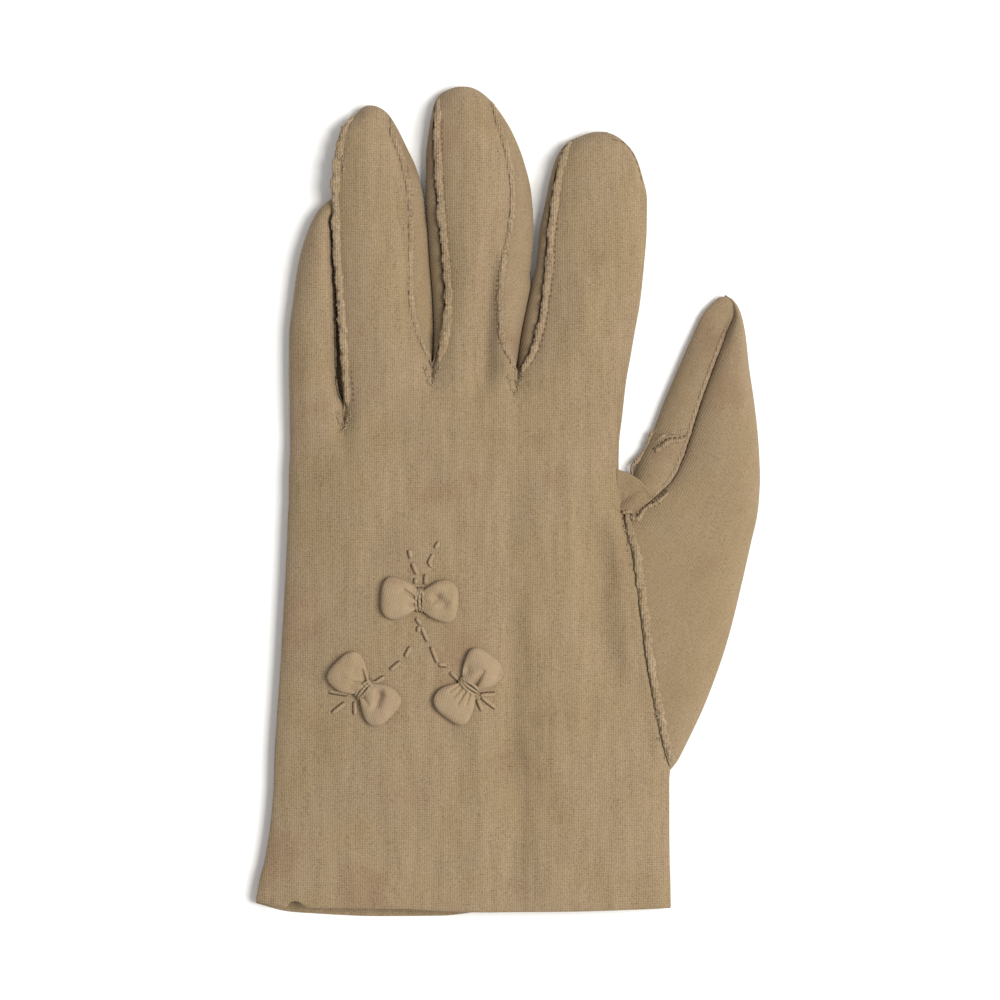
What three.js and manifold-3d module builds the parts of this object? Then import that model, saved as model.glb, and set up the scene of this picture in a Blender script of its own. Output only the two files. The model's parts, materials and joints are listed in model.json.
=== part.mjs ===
// A wrist-length fabric dress glove for the left hand, lying flat on its palm with the back of the hand up.
// The cloth walls enclose a hollow that is open at the cuff and runs on into the four fingers and the thumb.
// Back and palm panels meet at the sides, and a forked strip joins them between each two fingers. The thumb
// is set in with a gusset and a web at its crotch. Raised welts run along the seams, and three padded bows sit
// on the back.
// Millimetres, +X towards the thumb, +Y towards the fingertips, +Z up from the surface under the palm.
import * as THREE from "three";
import { mergeVertices } from "three/addons/utils/BufferGeometryUtils.js";
import Module from "manifold-3d";

// Cloth and seams.
const CLOTH = 1.0;
const SEAM_GAP = 0.3;
const HEM_WIDTH = 8;
const HEM_CLOTH = 0.6;
const WELT_RADIUS = 0.8;
const WELT_SIDES = 6;

// The hand, lying flat: its width across the knuckles, and its length from the hem to the little finger's
// crotch.
const KNUCKLE_WIDTH = 91.5;
const HAND_LENGTH = 135.3;
const HAND_HEIGHT = 10.8;
const HAND_SIDE_HEIGHT = 4.2;
const HAND_EDGE_ROUND = 3.6;
const SIDE_SEAM_HEIGHT = 2.9;

// The fingers. At their roots they share out the knuckles' width. Each has its length from its crotch, its
// height, and how far that crotch lies beyond the little finger's.
const LITTLE = { width: 0.168 * KNUCKLE_WIDTH, length: 55.1, height: 8.6, rise: 0 };
const RING = { width: 0.252 * KNUCKLE_WIDTH, length: 68.6, height: 9.8, rise: 11.9 };
const MIDDLE = { width: 0.246 * KNUCKLE_WIDTH, length: 73.7, height: 10.0, rise: 11.9 };
const INDEX = { width: 0.334 * KNUCKLE_WIDTH, length: 63.7, height: 9.6, rise: 9.7 };
const FINGER_CORNER = 1.9;
const FORK_LOW = 2.0;
const FORK_BELOW_CROTCH = 3.2;
const FORK_REACH = 0.8;
const SEAM_SHARE = 0.68;
const WALL_BULGE = 0.35;
const TIP_CLOTH = 1.3;

// The thumb: the unit that its table measures across, its length from the foot of its seam to its tip, its
// height, and how far its foot lies above the hem and its crotch lies out from the hand's middle line.
const THUMB = { width: 0.38 * KNUCKLE_WIDTH, length: 125.3, height: 8.8 };
const THUMB_FOOT = 38.6;
const THUMB_CROTCH = 0.476 * KNUCKLE_WIDTH;

// The bows: one lobe's length, width and height, and the thread wraps that tie the two lobes together.
const LOBE_LENGTH = 9.4;
const LOBE_WIDTH = 11.2;
const LOBE_HEIGHT = 3.2;
const KNOT_LENGTH = 7.0;
const KNOT_WIDTH = 2.6;
const KNOT_HEIGHT = 2.7;

/** Rows with named columns, from a heading and lists of shares. */
const table = (columns, rows) =>
  rows.map((row) => Object.fromEntries(columns.map((name, i) => [name, row[i]])));

// The hand's sections: along in hand lengths from the hem, left and right in knuckle widths from the middle
// line, height in hand heights, and how full the back stays towards its sides.
const HAND_ROWS = table(["along", "left", "right", "height", "fullness"], [
  [-0.06, -0.612, 0.626, 0.8, 3.6],
  [0.0, -0.6, 0.625, 0.8, 3.6],
  [0.05, -0.588, 0.624, 0.8, 3.6],
  [0.09, -0.574, 0.622, 0.82, 3.6],
  [0.17, -0.556, 0.621, 0.85, 3.5],
  [0.25, -0.547, 0.621, 0.88, 3.4],
  [0.289, -0.546, 0.627, 0.9, 3.4],
  [0.329, -0.543, 0.63, 0.92, 3.4],
  [0.409, -0.535, 0.608, 0.96, 3.4],
  [0.477, -0.528, 0.588, 0.98, 3.4],
  [0.585, -0.519, 0.568, 1.0, 3.4],
  [0.703, -0.51, 0.541, 1.0, 3.4],
  [0.772, -0.506, 0.509, 1.0, 3.4],
  [0.808, -0.503, 0.479, 0.99, 3.4],
  [0.852, -0.503, 0.471, 0.98, 3.3],
  [0.908, -0.5, 0.471, 0.95, 3.0],
  [0.945, -0.5, 0.474, 0.92, 2.7],
  [0.972, -0.492, 0.48, 0.89, 2.5],
  [0.992, -0.345, 0.484, 0.885, 2.4],
  [1.03, -0.325, 0.485, 0.86, 2.4],
  [1.066, -0.322, 0.47, 0.79, 2.4],
]);

// Soft dents and folds in the back: where each starts and ends, as shares of the hand's length and knuckle
// width, how deep it is in hand heights (a negative depth is a ridge), and how wide in knuckle widths.
const HAND_FOLDS = table(["fromAlong", "fromAcross", "toAlong", "toAcross", "depth", "width"], [
  [-0.05, 0.17, 0.7, 0.15, 0.07, 0.05],
  [-0.05, 0.06, 0.5, 0.05, -0.03, 0.05],
  [0.4, 0.45, 0.84, 0.37, 0.09, 0.05],
  [0.7, 0.1, 1.0, 0.1, 0.05, 0.05],
]);

// The fingers' sections: along in finger lengths from the crotch, the edges on the palm and the seams on the
// back in finger widths from the finger's middle line, height and lift of the underside in finger heights.
const FINGER_COLUMNS = ["along", "left", "leftSeam", "rightSeam", "right", "height", "lift"];
const LITTLE_ROWS = table(FINGER_COLUMNS, [
  [-0.176, -0.5, -0.38, 0.482, 0.675, 0.82, 0],
  [-0.059, -0.509, -0.36, 0.45, 0.605, 0.96, 0],
  [0.0, -0.509, -0.345, 0.43, 0.47, 1.0, 0],
  [0.05, -0.512, -0.335, 0.32, 0.45, 1.0, 0],
  [0.118, -0.518, -0.325, 0.254, 0.437, 1.0, 0],
  [0.314, -0.518, -0.325, 0.219, 0.412, 1.0, 0],
  [0.51, -0.447, -0.272, 0.184, 0.395, 1.0, 0],
  [0.706, -0.342, -0.184, 0.167, 0.395, 0.97, 0],
  [0.853, -0.184, -0.061, 0.167, 0.395, 0.9, 0],
  [0.941, -0.026, 0.044, 0.184, 0.377, 0.78, 0.05],
  [0.98, 0.096, 0.132, 0.219, 0.342, 0.62, 0.1],
  [1.0, 0.19, 0.207, 0.284, 0.315, 0.45, 0.15],
]);
const RING_ROWS = table(FINGER_COLUMNS, [
  [-0.315, -0.55, -0.524, 0.45, 0.6, 0.76, 0],
  [-0.22, -0.53, -0.53, 0.47, 0.6, 0.93, 0],
  [-0.173, -0.49, -0.512, 0.49, 0.594, 0.97, 0],
  [-0.047, -0.49, -0.535, 0.5, 0.582, 1.0, 0],
  [0.0, -0.49, -0.547, 0.46, 0.49, 1.0, 0],
  [0.035, -0.49, -0.555, 0.41, 0.48, 1.0, 0],
  [0.118, -0.5, -0.571, 0.31, 0.476, 1.0, 0],
  [0.276, -0.524, -0.606, 0.224, 0.471, 1.0, 0],
  [0.472, -0.559, -0.641, 0.229, 0.441, 1.0, 0],
  [0.63, -0.582, -0.653, 0.218, 0.406, 1.0, 0],
  [0.748, -0.594, -0.641, 0.159, 0.324, 0.97, 0],
  [0.846, -0.559, -0.594, 0.065, 0.194, 0.9, 0],
  [0.925, -0.488, -0.524, -0.041, 0.076, 0.78, 0.03],
  [0.976, -0.382, -0.406, -0.135, -0.029, 0.63, 0.08],
  [1.0, -0.3, -0.3, -0.182, -0.14, 0.45, 0.15],
]);
const MIDDLE_ROWS = table(FINGER_COLUMNS, [
  [-0.293, -0.575, -0.45, 0.45, 0.575, 0.76, 0],
  [-0.2, -0.587, -0.48, 0.48, 0.575, 0.93, 0],
  [-0.044, -0.587, -0.5, 0.5, 0.55, 1.0, 0],
  [0.0, -0.487, -0.46, 0.43, 0.487, 1.0, 0],
  [0.05, -0.485, -0.41, 0.35, 0.485, 1.0, 0],
  [0.11, -0.48, -0.37, 0.311, 0.49, 1.0, 0],
  [0.22, -0.492, -0.341, 0.299, 0.587, 1.0, 0],
  [0.359, -0.527, -0.371, 0.335, 0.69, 1.0, 0],
  [0.476, -0.551, -0.407, 0.407, 0.719, 1.0, 0],
  [0.604, -0.575, -0.443, 0.443, 0.695, 1.0, 0],
  [0.733, -0.575, -0.467, 0.395, 0.599, 0.95, 0],
  [0.842, -0.539, -0.479, 0.299, 0.455, 0.88, 0],
  [0.923, -0.491, -0.443, 0.192, 0.287, 0.78, 0.03],
  [0.971, -0.419, -0.383, 0.072, 0.144, 0.64, 0.08],
  [1.0, -0.25, -0.23, -0.06, -0.014, 0.45, 0.15],
]);
const INDEX_ROWS = table(FINGER_COLUMNS, [
  [-0.305, -0.557, -0.45, 0.289, 0.421, 0.74, 0],
  [-0.2, -0.557, -0.48, 0.32, 0.446, 0.9, 0],
  [-0.051, -0.557, -0.5, 0.35, 0.482, 1.0, 0],
  [0.0, -0.49, -0.46, 0.359, 0.5, 1.0, 0],
  [0.05, -0.475, -0.39, 0.38, 0.52, 1.0, 0],
  [0.119, -0.455, -0.337, 0.403, 0.544, 1.0, 0],
  [0.288, -0.385, -0.267, 0.465, 0.606, 1.0, 0],
  [0.449, -0.313, -0.231, 0.5, 0.641, 1.0, 0],
  [0.585, -0.284, -0.214, 0.526, 0.663, 1.0, 0],
  [0.712, -0.231, -0.178, 0.535, 0.667, 0.97, 0],
  [0.818, -0.187, -0.143, 0.5, 0.623, 0.92, 0],
  [0.903, -0.13, -0.081, 0.43, 0.562, 0.85, 0],
  [0.958, -0.037, -0.002, 0.359, 0.474, 0.7, 0.05],
  [0.987, 0.077, 0.104, 0.306, 0.394, 0.56, 0.1],
  [1.0, 0.16, 0.174, 0.28, 0.33, 0.45, 0.15],
]);

// The thumb's sections, in the same columns. Its middle line is the edge of the hand at the crotch, its left
// seam is the one along its inner strip, and its right edge is a fold.
const THUMB_ROWS = table(FINGER_COLUMNS, [
  [-0.028, 0.155, 0.217, 0.326, 0.357, 0.55, 0],
  [0.0, 0.093, 0.155, 0.372, 0.442, 0.65, 0],
  [0.037, 0.016, 0.093, 0.419, 0.512, 0.76, 0],
  [0.134, -0.109, -0.016, 0.558, 0.674, 0.9, 0],
  [0.263, -0.155, -0.062, 0.713, 0.837, 1.0, 0],
  [0.392, -0.186, -0.093, 0.822, 0.953, 1.0, 0],
  [0.478, -0.186, -0.078, 0.891, 1.023, 1.0, 0],
  [0.53, -0.124, 0.124, 0.93, 1.066, 1.0, 0],
  [0.565, -0.039, 0.24, 0.946, 1.081, 1.0, 0],
  [0.612, 0.085, 0.403, 0.946, 1.089, 1.0, 0],
  [0.651, 0.147, 0.473, 0.946, 1.085, 1.0, 0],
  [0.7, 0.233, 0.535, 0.946, 1.074, 1.0, 0],
  [0.769, 0.329, 0.612, 0.93, 1.047, 1.0, 0],
  [0.853, 0.457, 0.72, 0.915, 1.004, 0.95, 0],
  [0.927, 0.574, 0.8, 0.907, 0.973, 0.85, 0],
  [0.97, 0.651, 0.79, 0.88, 0.938, 0.72, 0.04],
  [0.991, 0.721, 0.775, 0.853, 0.899, 0.6, 0.1],
  [1.0, 0.76, 0.783, 0.829, 0.86, 0.45, 0.15],
]);

// The seam that sets the thumb into the hand, and the line that parts it from the index finger beyond its
// crotch, in hand lengths and knuckle widths.
const THUMB_SEAM = table(["along", "across"], [
  [0.25, 0.66],
  [0.275, 0.626],
  [0.33, 0.6],
  [0.391, 0.58],
  [0.477, 0.556],
  [0.585, 0.535],
  [0.703, 0.511],
  [0.772, 0.486],
  [0.83, 0.478],
  [1.25, 0.62],
]);

// Along the thumb, in thumb lengths: where the strip ends and the gusset starts, and where the gusset ends.
const STRIP_START = 0.7;
const GUSSET_START = 0.535;
const STRIP_END = 0.975;
const STRIP_LOW = 1.7;
const GUSSET_REACH = 5;

// The hem line of each layer: across in knuckle widths, drop past the hem in hand lengths.
const BACK_HEM = table(["across", "drop"], [
  [-0.62, -0.012],
  [-0.5, 0.0],
  [-0.2, 0.003],
  [0.08, 0.01],
  [0.3, 0.009],
  [0.64, 0.003],
]);
const PALM_HEM = table(["across", "drop"], [
  [-0.62, -0.008],
  [-0.5, 0.013],
  [-0.44, 0.016],
  [-0.24, 0.022],
  [-0.05, 0.021],
  [0.08, 0.012],
  [0.64, 0.005],
]);

// The bows: the knot's place in hand lengths and knuckle widths, and the turn of the line between its lobes.
const BOWS = table(["name", "along", "across", "turn"], [
  ["top", 0.611, -0.115, -4],
  ["left", 0.434, -0.278, -44],
  ["right", 0.439, 0.029, 52],
]);
// One lobe from the knot outwards: along in lobe lengths, the others in the lobe's width and height.
const LOBE_ROWS = table(["along", "width", "height"], [
  [0.0, 0.4, 0.5],
  [0.15, 0.62, 0.75],
  [0.4, 0.88, 1.0],
  [0.72, 1.0, 0.96],
  [0.9, 0.95, 0.72],
  [1.0, 0.8, 0.42],
]);

const wasm = await Module();
wasm.setup();

/** The closed solid of a geometry, with its shared vertices merged. */
function solidOf(geometry) {
  const bare = new THREE.BufferGeometry().setAttribute("position", geometry.getAttribute("position"));
  if (geometry.index) bare.setIndex(geometry.index);
  const merged = mergeVertices(bare.index ? bare.toNonIndexed() : bare, 1e-4);
  return new wasm.Manifold(
    new wasm.Mesh({
      numProp: 3,
      vertProperties: merged.getAttribute("position").array,
      triVerts: new Uint32Array(merged.index.array),
    }),
  );
}

/** The geometry of a solid, for a three.js mesh. */
function geometryOf(solid) {
  const mesh = solid.getMesh();
  const geometry = new THREE.BufferGeometry();
  geometry.setAttribute("position", new THREE.BufferAttribute(mesh.vertProperties, mesh.numProp));
  geometry.setIndex(new THREE.BufferAttribute(mesh.triVerts, 1));
  const faceted = geometry.toNonIndexed();
  faceted.computeVertexNormals();
  return faceted;
}

/** The largest body of a solid, which drops the crumbs that a cut leaves at a curved edge. */
function mainBody(solid) {
  return solid.decompose().reduce((most, body) => (body.volume() > most.volume() ? body : most));
}

/** A solid lofted along +Y through sections of equal point counts, each {y, points: [[x, z], ...]}. */
function loft(sections) {
  const count = sections[0].points.length;
  const positions = [];
  const index = [];
  for (const { y, points } of sections) for (const [x, z] of points) positions.push(x, y, z);
  for (let s = 0; s + 1 < sections.length; s++) {
    for (let i = 0; i < count; i++) {
      const a = s * count + i;
      const b = s * count + ((i + 1) % count);
      index.push(a, a + count, b, b, a + count, b + count);
    }
  }
  const cap = (section, start, flip) => {
    const contour = section.points.map(([x, z]) => new THREE.Vector2(x, z));
    for (const [a, b, c] of THREE.ShapeUtils.triangulateShape(contour, []))
      index.push(start + a, start + (flip ? c : b), start + (flip ? b : c));
  };
  cap(sections[0], 0, false);
  cap(sections[sections.length - 1], (sections.length - 1) * count, true);
  const geometry = new THREE.BufferGeometry();
  geometry.setAttribute("position", new THREE.Float32BufferAttribute(positions, 3));
  geometry.setIndex(index);
  return solidOf(geometry);
}

/** The row of a table at any place along it, straight between its neighbours. */
function rowAt(rows, along) {
  const last = rows.length - 1;
  let i = rows.findIndex((row) => row.along > along);
  i = i < 0 ? last : Math.max(1, i);
  const share = (along - rows[i - 1].along) / (rows[i].along - rows[i - 1].along);
  const held = Math.min(1, Math.max(0, share));
  const between = (name) => THREE.MathUtils.lerp(rows[i - 1][name], rows[i][name], held);
  const row = Object.fromEntries(Object.keys(rows[0]).map((name) => [name, between(name)]));
  return { ...row, along };
}

/** How deep the folds press the back in at a place, in hand heights. */
function foldDepth(along, across) {
  let depth = 0;
  for (const fold of HAND_FOLDS) {
    const share = (along - fold.fromAlong) / (fold.toAlong - fold.fromAlong);
    if (share <= 0 || share >= 1) continue;
    const middle = THREE.MathUtils.lerp(fold.fromAcross, fold.toAcross, share);
    const fade = Math.min(1, 4 * share, 4 * (1 - share));
    depth += fold.depth * fade * Math.exp(-(((across - middle) / fold.width) ** 2));
  }
  return depth;
}

/** The height of the hand's back at a place, in millimetres. */
function handTop(row, x, cloth = 0) {
  const left = row.left * KNUCKLE_WIDTH + cloth;
  const right = row.right * KNUCKLE_WIDTH - cloth;
  const off = Math.min(1, Math.abs((2 * x - left - right) / (right - left)));
  const dome = (1 - off ** row.fullness) ** 0.55;
  const height = HAND_HEIGHT * (row.height - foldDepth(row.along, x / KNUCKLE_WIDTH) * dome) - cloth;
  return HAND_SIDE_HEIGHT + (height - HAND_SIDE_HEIGHT) * dome;
}

/** The hand's outline at a row, moved in by the cloth: a flat underside, round sides and a domed back. */
function handSection(row, cloth = 0) {
  const left = row.left * KNUCKLE_WIDTH + cloth;
  const right = row.right * KNUCKLE_WIDTH - cloth;
  const round = HAND_EDGE_ROUND - cloth / 2;
  const side = [60, 30, 0].map((degrees) => {
    const angle = THREE.MathUtils.degToRad(degrees);
    return [round * (1 - Math.sin(angle)), cloth + (HAND_SIDE_HEIGHT - cloth) * (1 - Math.cos(angle))];
  });
  const points = [
    ...side.map(([x, z]) => [left + x, z]),
    ...side.toReversed().map(([x, z]) => [right - x, z]),
  ];
  const steps = cloth ? 12 : 20;
  for (let i = 0; i <= steps; i++) {
    const x = THREE.MathUtils.lerp(left, right, 0.5 + 0.5 * Math.cos((Math.PI * i) / steps));
    points.push([x, handTop(row, x, cloth)]);
  }
  return { y: row.along * HAND_LENGTH, points };
}

/** A finger with its place in the hand and its sections. */
class Finger {
  constructor(size, rows, middle, start) {
    Object.assign(this, { size, rows, middle, start });
  }

  y(along) {
    return this.start + along * this.size.length;
  }

  x(share) {
    return this.middle + share * this.size.width;
  }

  seamHeight(row) {
    return row.height * this.size.height * SEAM_SHARE;
  }

  /** How thick the wall is along X at a row's side edge, where the outline runs in towards the tip. */
  clothAcross(row, name) {
    const step = 0.02;
    const before = rowAt(this.rows, row.along - step)[name];
    const after = rowAt(this.rows, row.along + step)[name];
    const slope = ((after - before) * this.size.width) / (2 * step * this.size.length);
    return CLOTH * Math.min(1.7, Math.hypot(1, slope));
  }

  /** The outline at a row, of the cloth's outside or inside: flat below, with two walls and a crowned back. */
  section(row, inside = false) {
    const cloth = inside ? CLOTH : 0;
    const floor = row.lift * this.size.height;
    const seam = this.seamHeight(row);
    const low = floor + cloth;
    const high = seam - 0.6 * cloth;
    const top = row.height * this.size.height - cloth;
    const wall = (edgeName, seamName, side) => {
      const edge = this.x(row[edgeName]);
      const run = (this.x(row[seamName]) - edge) / (seam - floor);
      const shift = inside ? side * this.clothAcross(row, edgeName) * Math.hypot(1, run) : 0;
      return [edge + run * (low - floor) - shift, edge + run * (high - floor) - shift];
    };
    let [left, leftSeam] = wall("left", "leftSeam", -1);
    let [right, rightSeam] = wall("right", "rightSeam", 1);
    const least = 0.3;
    if (right - left < least) [left, right] = [(left + right - least) / 2, (left + right + least) / 2];
    if (rightSeam - leftSeam < least)
      [leftSeam, rightSeam] = [(leftSeam + rightSeam - least) / 2, (leftSeam + rightSeam + least) / 2];
    const corner = Math.min(FINGER_CORNER - 0.6 * cloth, (high - low) * 0.45, (right - left) * 0.3);
    const rise = (edge, shoulder, side) => {
      const at = (z) => THREE.MathUtils.lerp(edge, shoulder, (z - low) / (high - low));
      const middle = (low + corner + high) / 2;
      return [
        [edge - side * corner, low],
        [at(low + corner * 0.3) - side * corner * 0.3, low + corner * 0.3],
        [at(low + corner), low + corner],
        [at(middle) + side * WALL_BULGE, middle],
      ];
    };
    const points = rise(right, rightSeam, 1);
    const crownSteps = inside ? 4 : 6;
    for (let i = 0; i <= crownSteps; i++) {
      const across = 1 - (2 * i) / crownSteps;
      const x = THREE.MathUtils.lerp(leftSeam, rightSeam, 0.5 + across / 2);
      points.push([x, high + (top - high) * (1 - across ** 2) ** 0.8]);
    }
    points.push(...rise(left, leftSeam, -1).reverse());
    return { y: this.y(row.along), points };
  }

  outer() {
    return loft(this.rows.map((row) => this.section(row)));
  }

  inner() {
    const tip = rowAt(this.rows, 1 - TIP_CLOTH / this.size.length);
    const rows = [...this.rows.filter((row) => row.along < tip.along - 0.01), tip];
    return loft(rows.map((row) => this.section(row, true)));
  }

  /** The block that a fork's strip on one side is cut from, grown by a gap on all sides. */
  forkBlock(side, from, to, gap) {
    const between = this.rows.map((row) => this.y(row.along)).filter((y) => y > from && y < to);
    const stations = [from - gap, ...between, to + gap];
    return loft(
      stations.map((y) => {
        const row = rowAt(this.rows, (y - this.start) / this.size.length);
        const middle = this.x((row.leftSeam + row.rightSeam) / 2);
        const widest = side > 0 ? Math.max(row.right, row.rightSeam) : Math.min(row.left, row.leftSeam);
        const reach = this.x(widest) + side * FORK_REACH;
        const low = FORK_LOW - gap;
        const high = this.seamHeight(row) - SEAM_GAP + gap;
        const [near, far] = side > 0 ? [middle, reach] : [reach, middle];
        return { y, points: [[near, low], [far, low], [far, high], [near, high]] };
      }),
    );
  }

  /** The line just over a seam corner, for the welt that is sewn there. */
  weltLine(side, from, to) {
    const clear = SEAM_GAP + WELT_RADIUS * 1.15;
    const least = 0.01;
    const between = this.rows.map((row) => row.along).filter((a) => a > from + least && a < to - least);
    return [from, ...between, to].map((along) => {
      const row = rowAt(this.rows, along);
      const x = this.x(side > 0 ? row.rightSeam : row.leftSeam);
      return new THREE.Vector3(x + side * clear * 0.5, this.y(along), this.seamHeight(row) + clear * 0.87);
    });
  }
}

/** How high a section's outline reaches over a place across it, or nothing beside it. */
function topOf({ points }, x) {
  let top = -Infinity;
  points.forEach(([ax, az], i) => {
    const [bx, bz] = points[(i + 1) % points.length];
    if ((ax - x) * (bx - x) > 0 || ax === bx) return;
    top = Math.max(top, THREE.MathUtils.lerp(az, bz, (x - ax) / (bx - ax)));
  });
  return top;
}

/** A block that stands on a plan outline of [x, y] points, between two heights. */
function prism(outline, low, high) {
  const shape = new THREE.Shape(outline.map(([x, y]) => new THREE.Vector2(x, y)));
  const geometry = new THREE.ExtrudeGeometry(shape, { depth: high - low, bevelEnabled: false });
  return solidOf(geometry.translate(0, 0, low));
}

/** A raised welt along a line. */
function welt(line) {
  const ring = new THREE.Shape();
  for (let i = 0; i < WELT_SIDES; i++) {
    const angle = (2 * Math.PI * i) / WELT_SIDES;
    const point = [WELT_RADIUS * Math.cos(angle), WELT_RADIUS * Math.sin(angle)];
    if (i) ring.lineTo(...point);
    else ring.moveTo(...point);
  }
  const path = new THREE.CatmullRomCurve3(line, false, "centripetal");
  return solidOf(new THREE.ExtrudeGeometry(ring, { steps: line.length + 4, extrudePath: path }));
}

/** The height of the glove's outside over a place in plan. */
function heightAt(x, y) {
  const along = y / HAND_LENGTH;
  const heights = [0];
  if (along <= HAND_ROWS.at(-1).along) heights.push(topOf(handSection(rowAt(HAND_ROWS, along)), x));
  for (const finger of [...fingers, thumb]) {
    const share = (y - finger.start) / finger.size.length;
    if (share < finger.rows[0].along || share > 1) continue;
    heights.push(topOf(finger.section(rowAt(finger.rows, share)), x));
  }
  return Math.max(...heights);
}

const WIDE = 2 * KNUCKLE_WIDTH;
const TALL = 4 * HAND_HEIGHT;
const LONG = 3 * HAND_LENGTH;
const slab = (low, high) => prism([[-WIDE, -LONG], [WIDE, -LONG], [WIDE, LONG], [-WIDE, LONG]], low, high);

// The fingers side by side across the knuckles.
let edge = -KNUCKLE_WIDTH / 2;
const [little, ring, middle, index] = [
  [LITTLE, LITTLE_ROWS],
  [RING, RING_ROWS],
  [MIDDLE, MIDDLE_ROWS],
  [INDEX, INDEX_ROWS],
].map(([size, rows]) => {
  edge += size.width;
  return new Finger(size, rows, edge - size.width / 2, HAND_LENGTH + size.rise);
});
const thumb = new Finger(THUMB, THUMB_ROWS, THUMB_CROTCH, THUMB_FOOT);
const fingers = [little, ring, middle, index];

// The whole shell: everything outside the hollow, which runs out through the cuff.
const hemRows = [
  ...HAND_ROWS.filter((row) => row.along * HAND_LENGTH < HEM_WIDTH),
  rowAt(HAND_ROWS, HEM_WIDTH / HAND_LENGTH),
].map((row) => handSection(row, CLOTH + HEM_CLOTH));
const hollowRows = [
  rowAt(HAND_ROWS, (HEM_WIDTH + HEM_CLOTH) / HAND_LENGTH),
  ...HAND_ROWS.filter((row) => row.along * HAND_LENGTH > HEM_WIDTH + HEM_CLOTH),
].map((row) => handSection(row, CLOTH));
const handInner = [...hemRows, ...hollowRows];
handInner[0].y -= CLOTH;
handInner.at(-1).y -= CLOTH;
const handOuter = HAND_ROWS.map((row) => handSection(row));
const outer = wasm.Manifold.union([loft(handOuter), ...[...fingers, thumb].map((f) => f.outer())]);
const inner = wasm.Manifold.union([loft(handInner), ...[...fingers, thumb].map((f) => f.inner())]);
const shell = outer.subtract(inner);

// The three forks, each a strip on the two sides that face each other, joined at the crotch.
const FORK_TOP = 0.97;
function fork(left, right, gap) {
  const crotch = Math.min(left.start, right.start) - FORK_BELOW_CROTCH;
  return wasm.Manifold.union([
    left.forkBlock(1, crotch, left.y(FORK_TOP), gap),
    right.forkBlock(-1, crotch, right.y(FORK_TOP), gap),
  ]);
}
const forkPairs = [
  ["fork_little_ring", little, ring],
  ["fork_ring_middle", ring, middle],
  ["fork_middle_index", middle, index],
];
const forks = forkPairs.map(([name, left, right]) => {
  return [name, mainBody(shell.intersect(fork(left, right, 0)))];
});
const forkCuts = wasm.Manifold.union(forkPairs.map(([, left, right]) => fork(left, right, SEAM_GAP)));

// The thumb's side of its seam, in plan, up between the thumb and the index finger.
const thumbSeam = THUMB_SEAM.map(({ along, across }) => [across * KNUCKLE_WIDTH, along * HAND_LENGTH]);
const thumbPlan = (gap) => [
  [thumbSeam[0][0] - gap, thumbSeam[0][1] - gap],
  [WIDE, thumbSeam[0][1] - gap],
  [WIDE, thumbSeam.at(-1)[1]],
  ...thumbSeam.map(([x, y]) => [x - gap, y]).reverse(),
];
const thumbBlock = prism(thumbPlan(0), -1, TALL);
const thumbCut = prism(thumbPlan(SEAM_GAP), -1, TALL);

const hemBlock = (rows) => {
  const line = rows.map(({ across, drop }) => [across * KNUCKLE_WIDTH, -drop * HAND_LENGTH]);
  const [start, end] = [line[0][1], line.at(-1)[1]];
  const outline = [[-WIDE, -LONG], [WIDE, -LONG], [WIDE, end], ...line.toReversed(), [-WIDE, start]];
  return prism(outline, -1, TALL);
};
const hand = shell.subtract(thumbCut).subtract(forkCuts);
const upper = hand.intersect(slab(SIDE_SEAM_HEIGHT + SEAM_GAP / 2, TALL));
const lower = hand.intersect(slab(-1, SIDE_SEAM_HEIGHT - SEAM_GAP / 2));
const back = mainBody(upper.subtract(hemBlock(BACK_HEM)));
const palm = mainBody(lower.subtract(hemBlock(PALM_HEM)));

// The thumb's inner strip and the gusset below it lie between its outline and its seam, above its underside.
function thumbPatch(from, to, gap) {
  const stations = [from, ...THUMB_ROWS.map((row) => row.along).filter((a) => a > from && a < to), to];
  const seamLine = stations.map((along) => {
    const row = rowAt(THUMB_ROWS, along);
    return [thumb.x(row.leftSeam) + gap, thumb.y(along)];
  });
  seamLine[0][1] -= gap;
  seamLine.at(-1)[1] += gap;
  const outside = thumb.middle - GUSSET_REACH;
  const outline = [[outside, seamLine[0][1]], ...seamLine, [outside, seamLine.at(-1)[1]]];
  return prism(outline, STRIP_LOW - gap, TALL);
}
const gapAlong = SEAM_GAP / THUMB.length;
const thumbShell = shell.intersect(thumbBlock);
const strip = mainBody(thumbShell.intersect(thumbPatch(STRIP_START + gapAlong, STRIP_END, 0)));
const gusset = mainBody(thumbShell.intersect(thumbPatch(GUSSET_START, STRIP_START, 0)));
const thumbMain = mainBody(
  thumbShell
    .subtract(thumbPatch(STRIP_START + gapAlong, STRIP_END, SEAM_GAP))
    .subtract(thumbPatch(GUSSET_START, STRIP_START, SEAM_GAP)),
);

/** The outside with the seam gap above it, which a sewn-on piece keeps clear of. */
const kept = outer.add(outer.translate([0, 0, SEAM_GAP]));

/** A bow's lobe, lofted from the knot outwards along +Y. */
function lobe() {
  const steps = 8;
  return loft(
    LOBE_ROWS.map(({ along, width, height }) => {
      const points = [[0.5, -1], [0.5, 0]].map(([x, z]) => [x * width * LOBE_WIDTH, z]);
      for (let i = 1; i < steps; i++) {
        const angle = (Math.PI * i) / steps;
        points.push([
          (Math.cos(angle) * width * LOBE_WIDTH) / 2,
          Math.sin(angle) ** 0.7 * height * LOBE_HEIGHT,
        ]);
      }
      points.push([-0.5 * width * LOBE_WIDTH, 0], [-0.5 * width * LOBE_WIDTH, -1]);
      const start = KNOT_WIDTH / 2 + SEAM_GAP;
      return { y: start + along * LOBE_LENGTH, points: [points.at(-1), ...points.slice(0, -1)] };
    }),
  );
}

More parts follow.
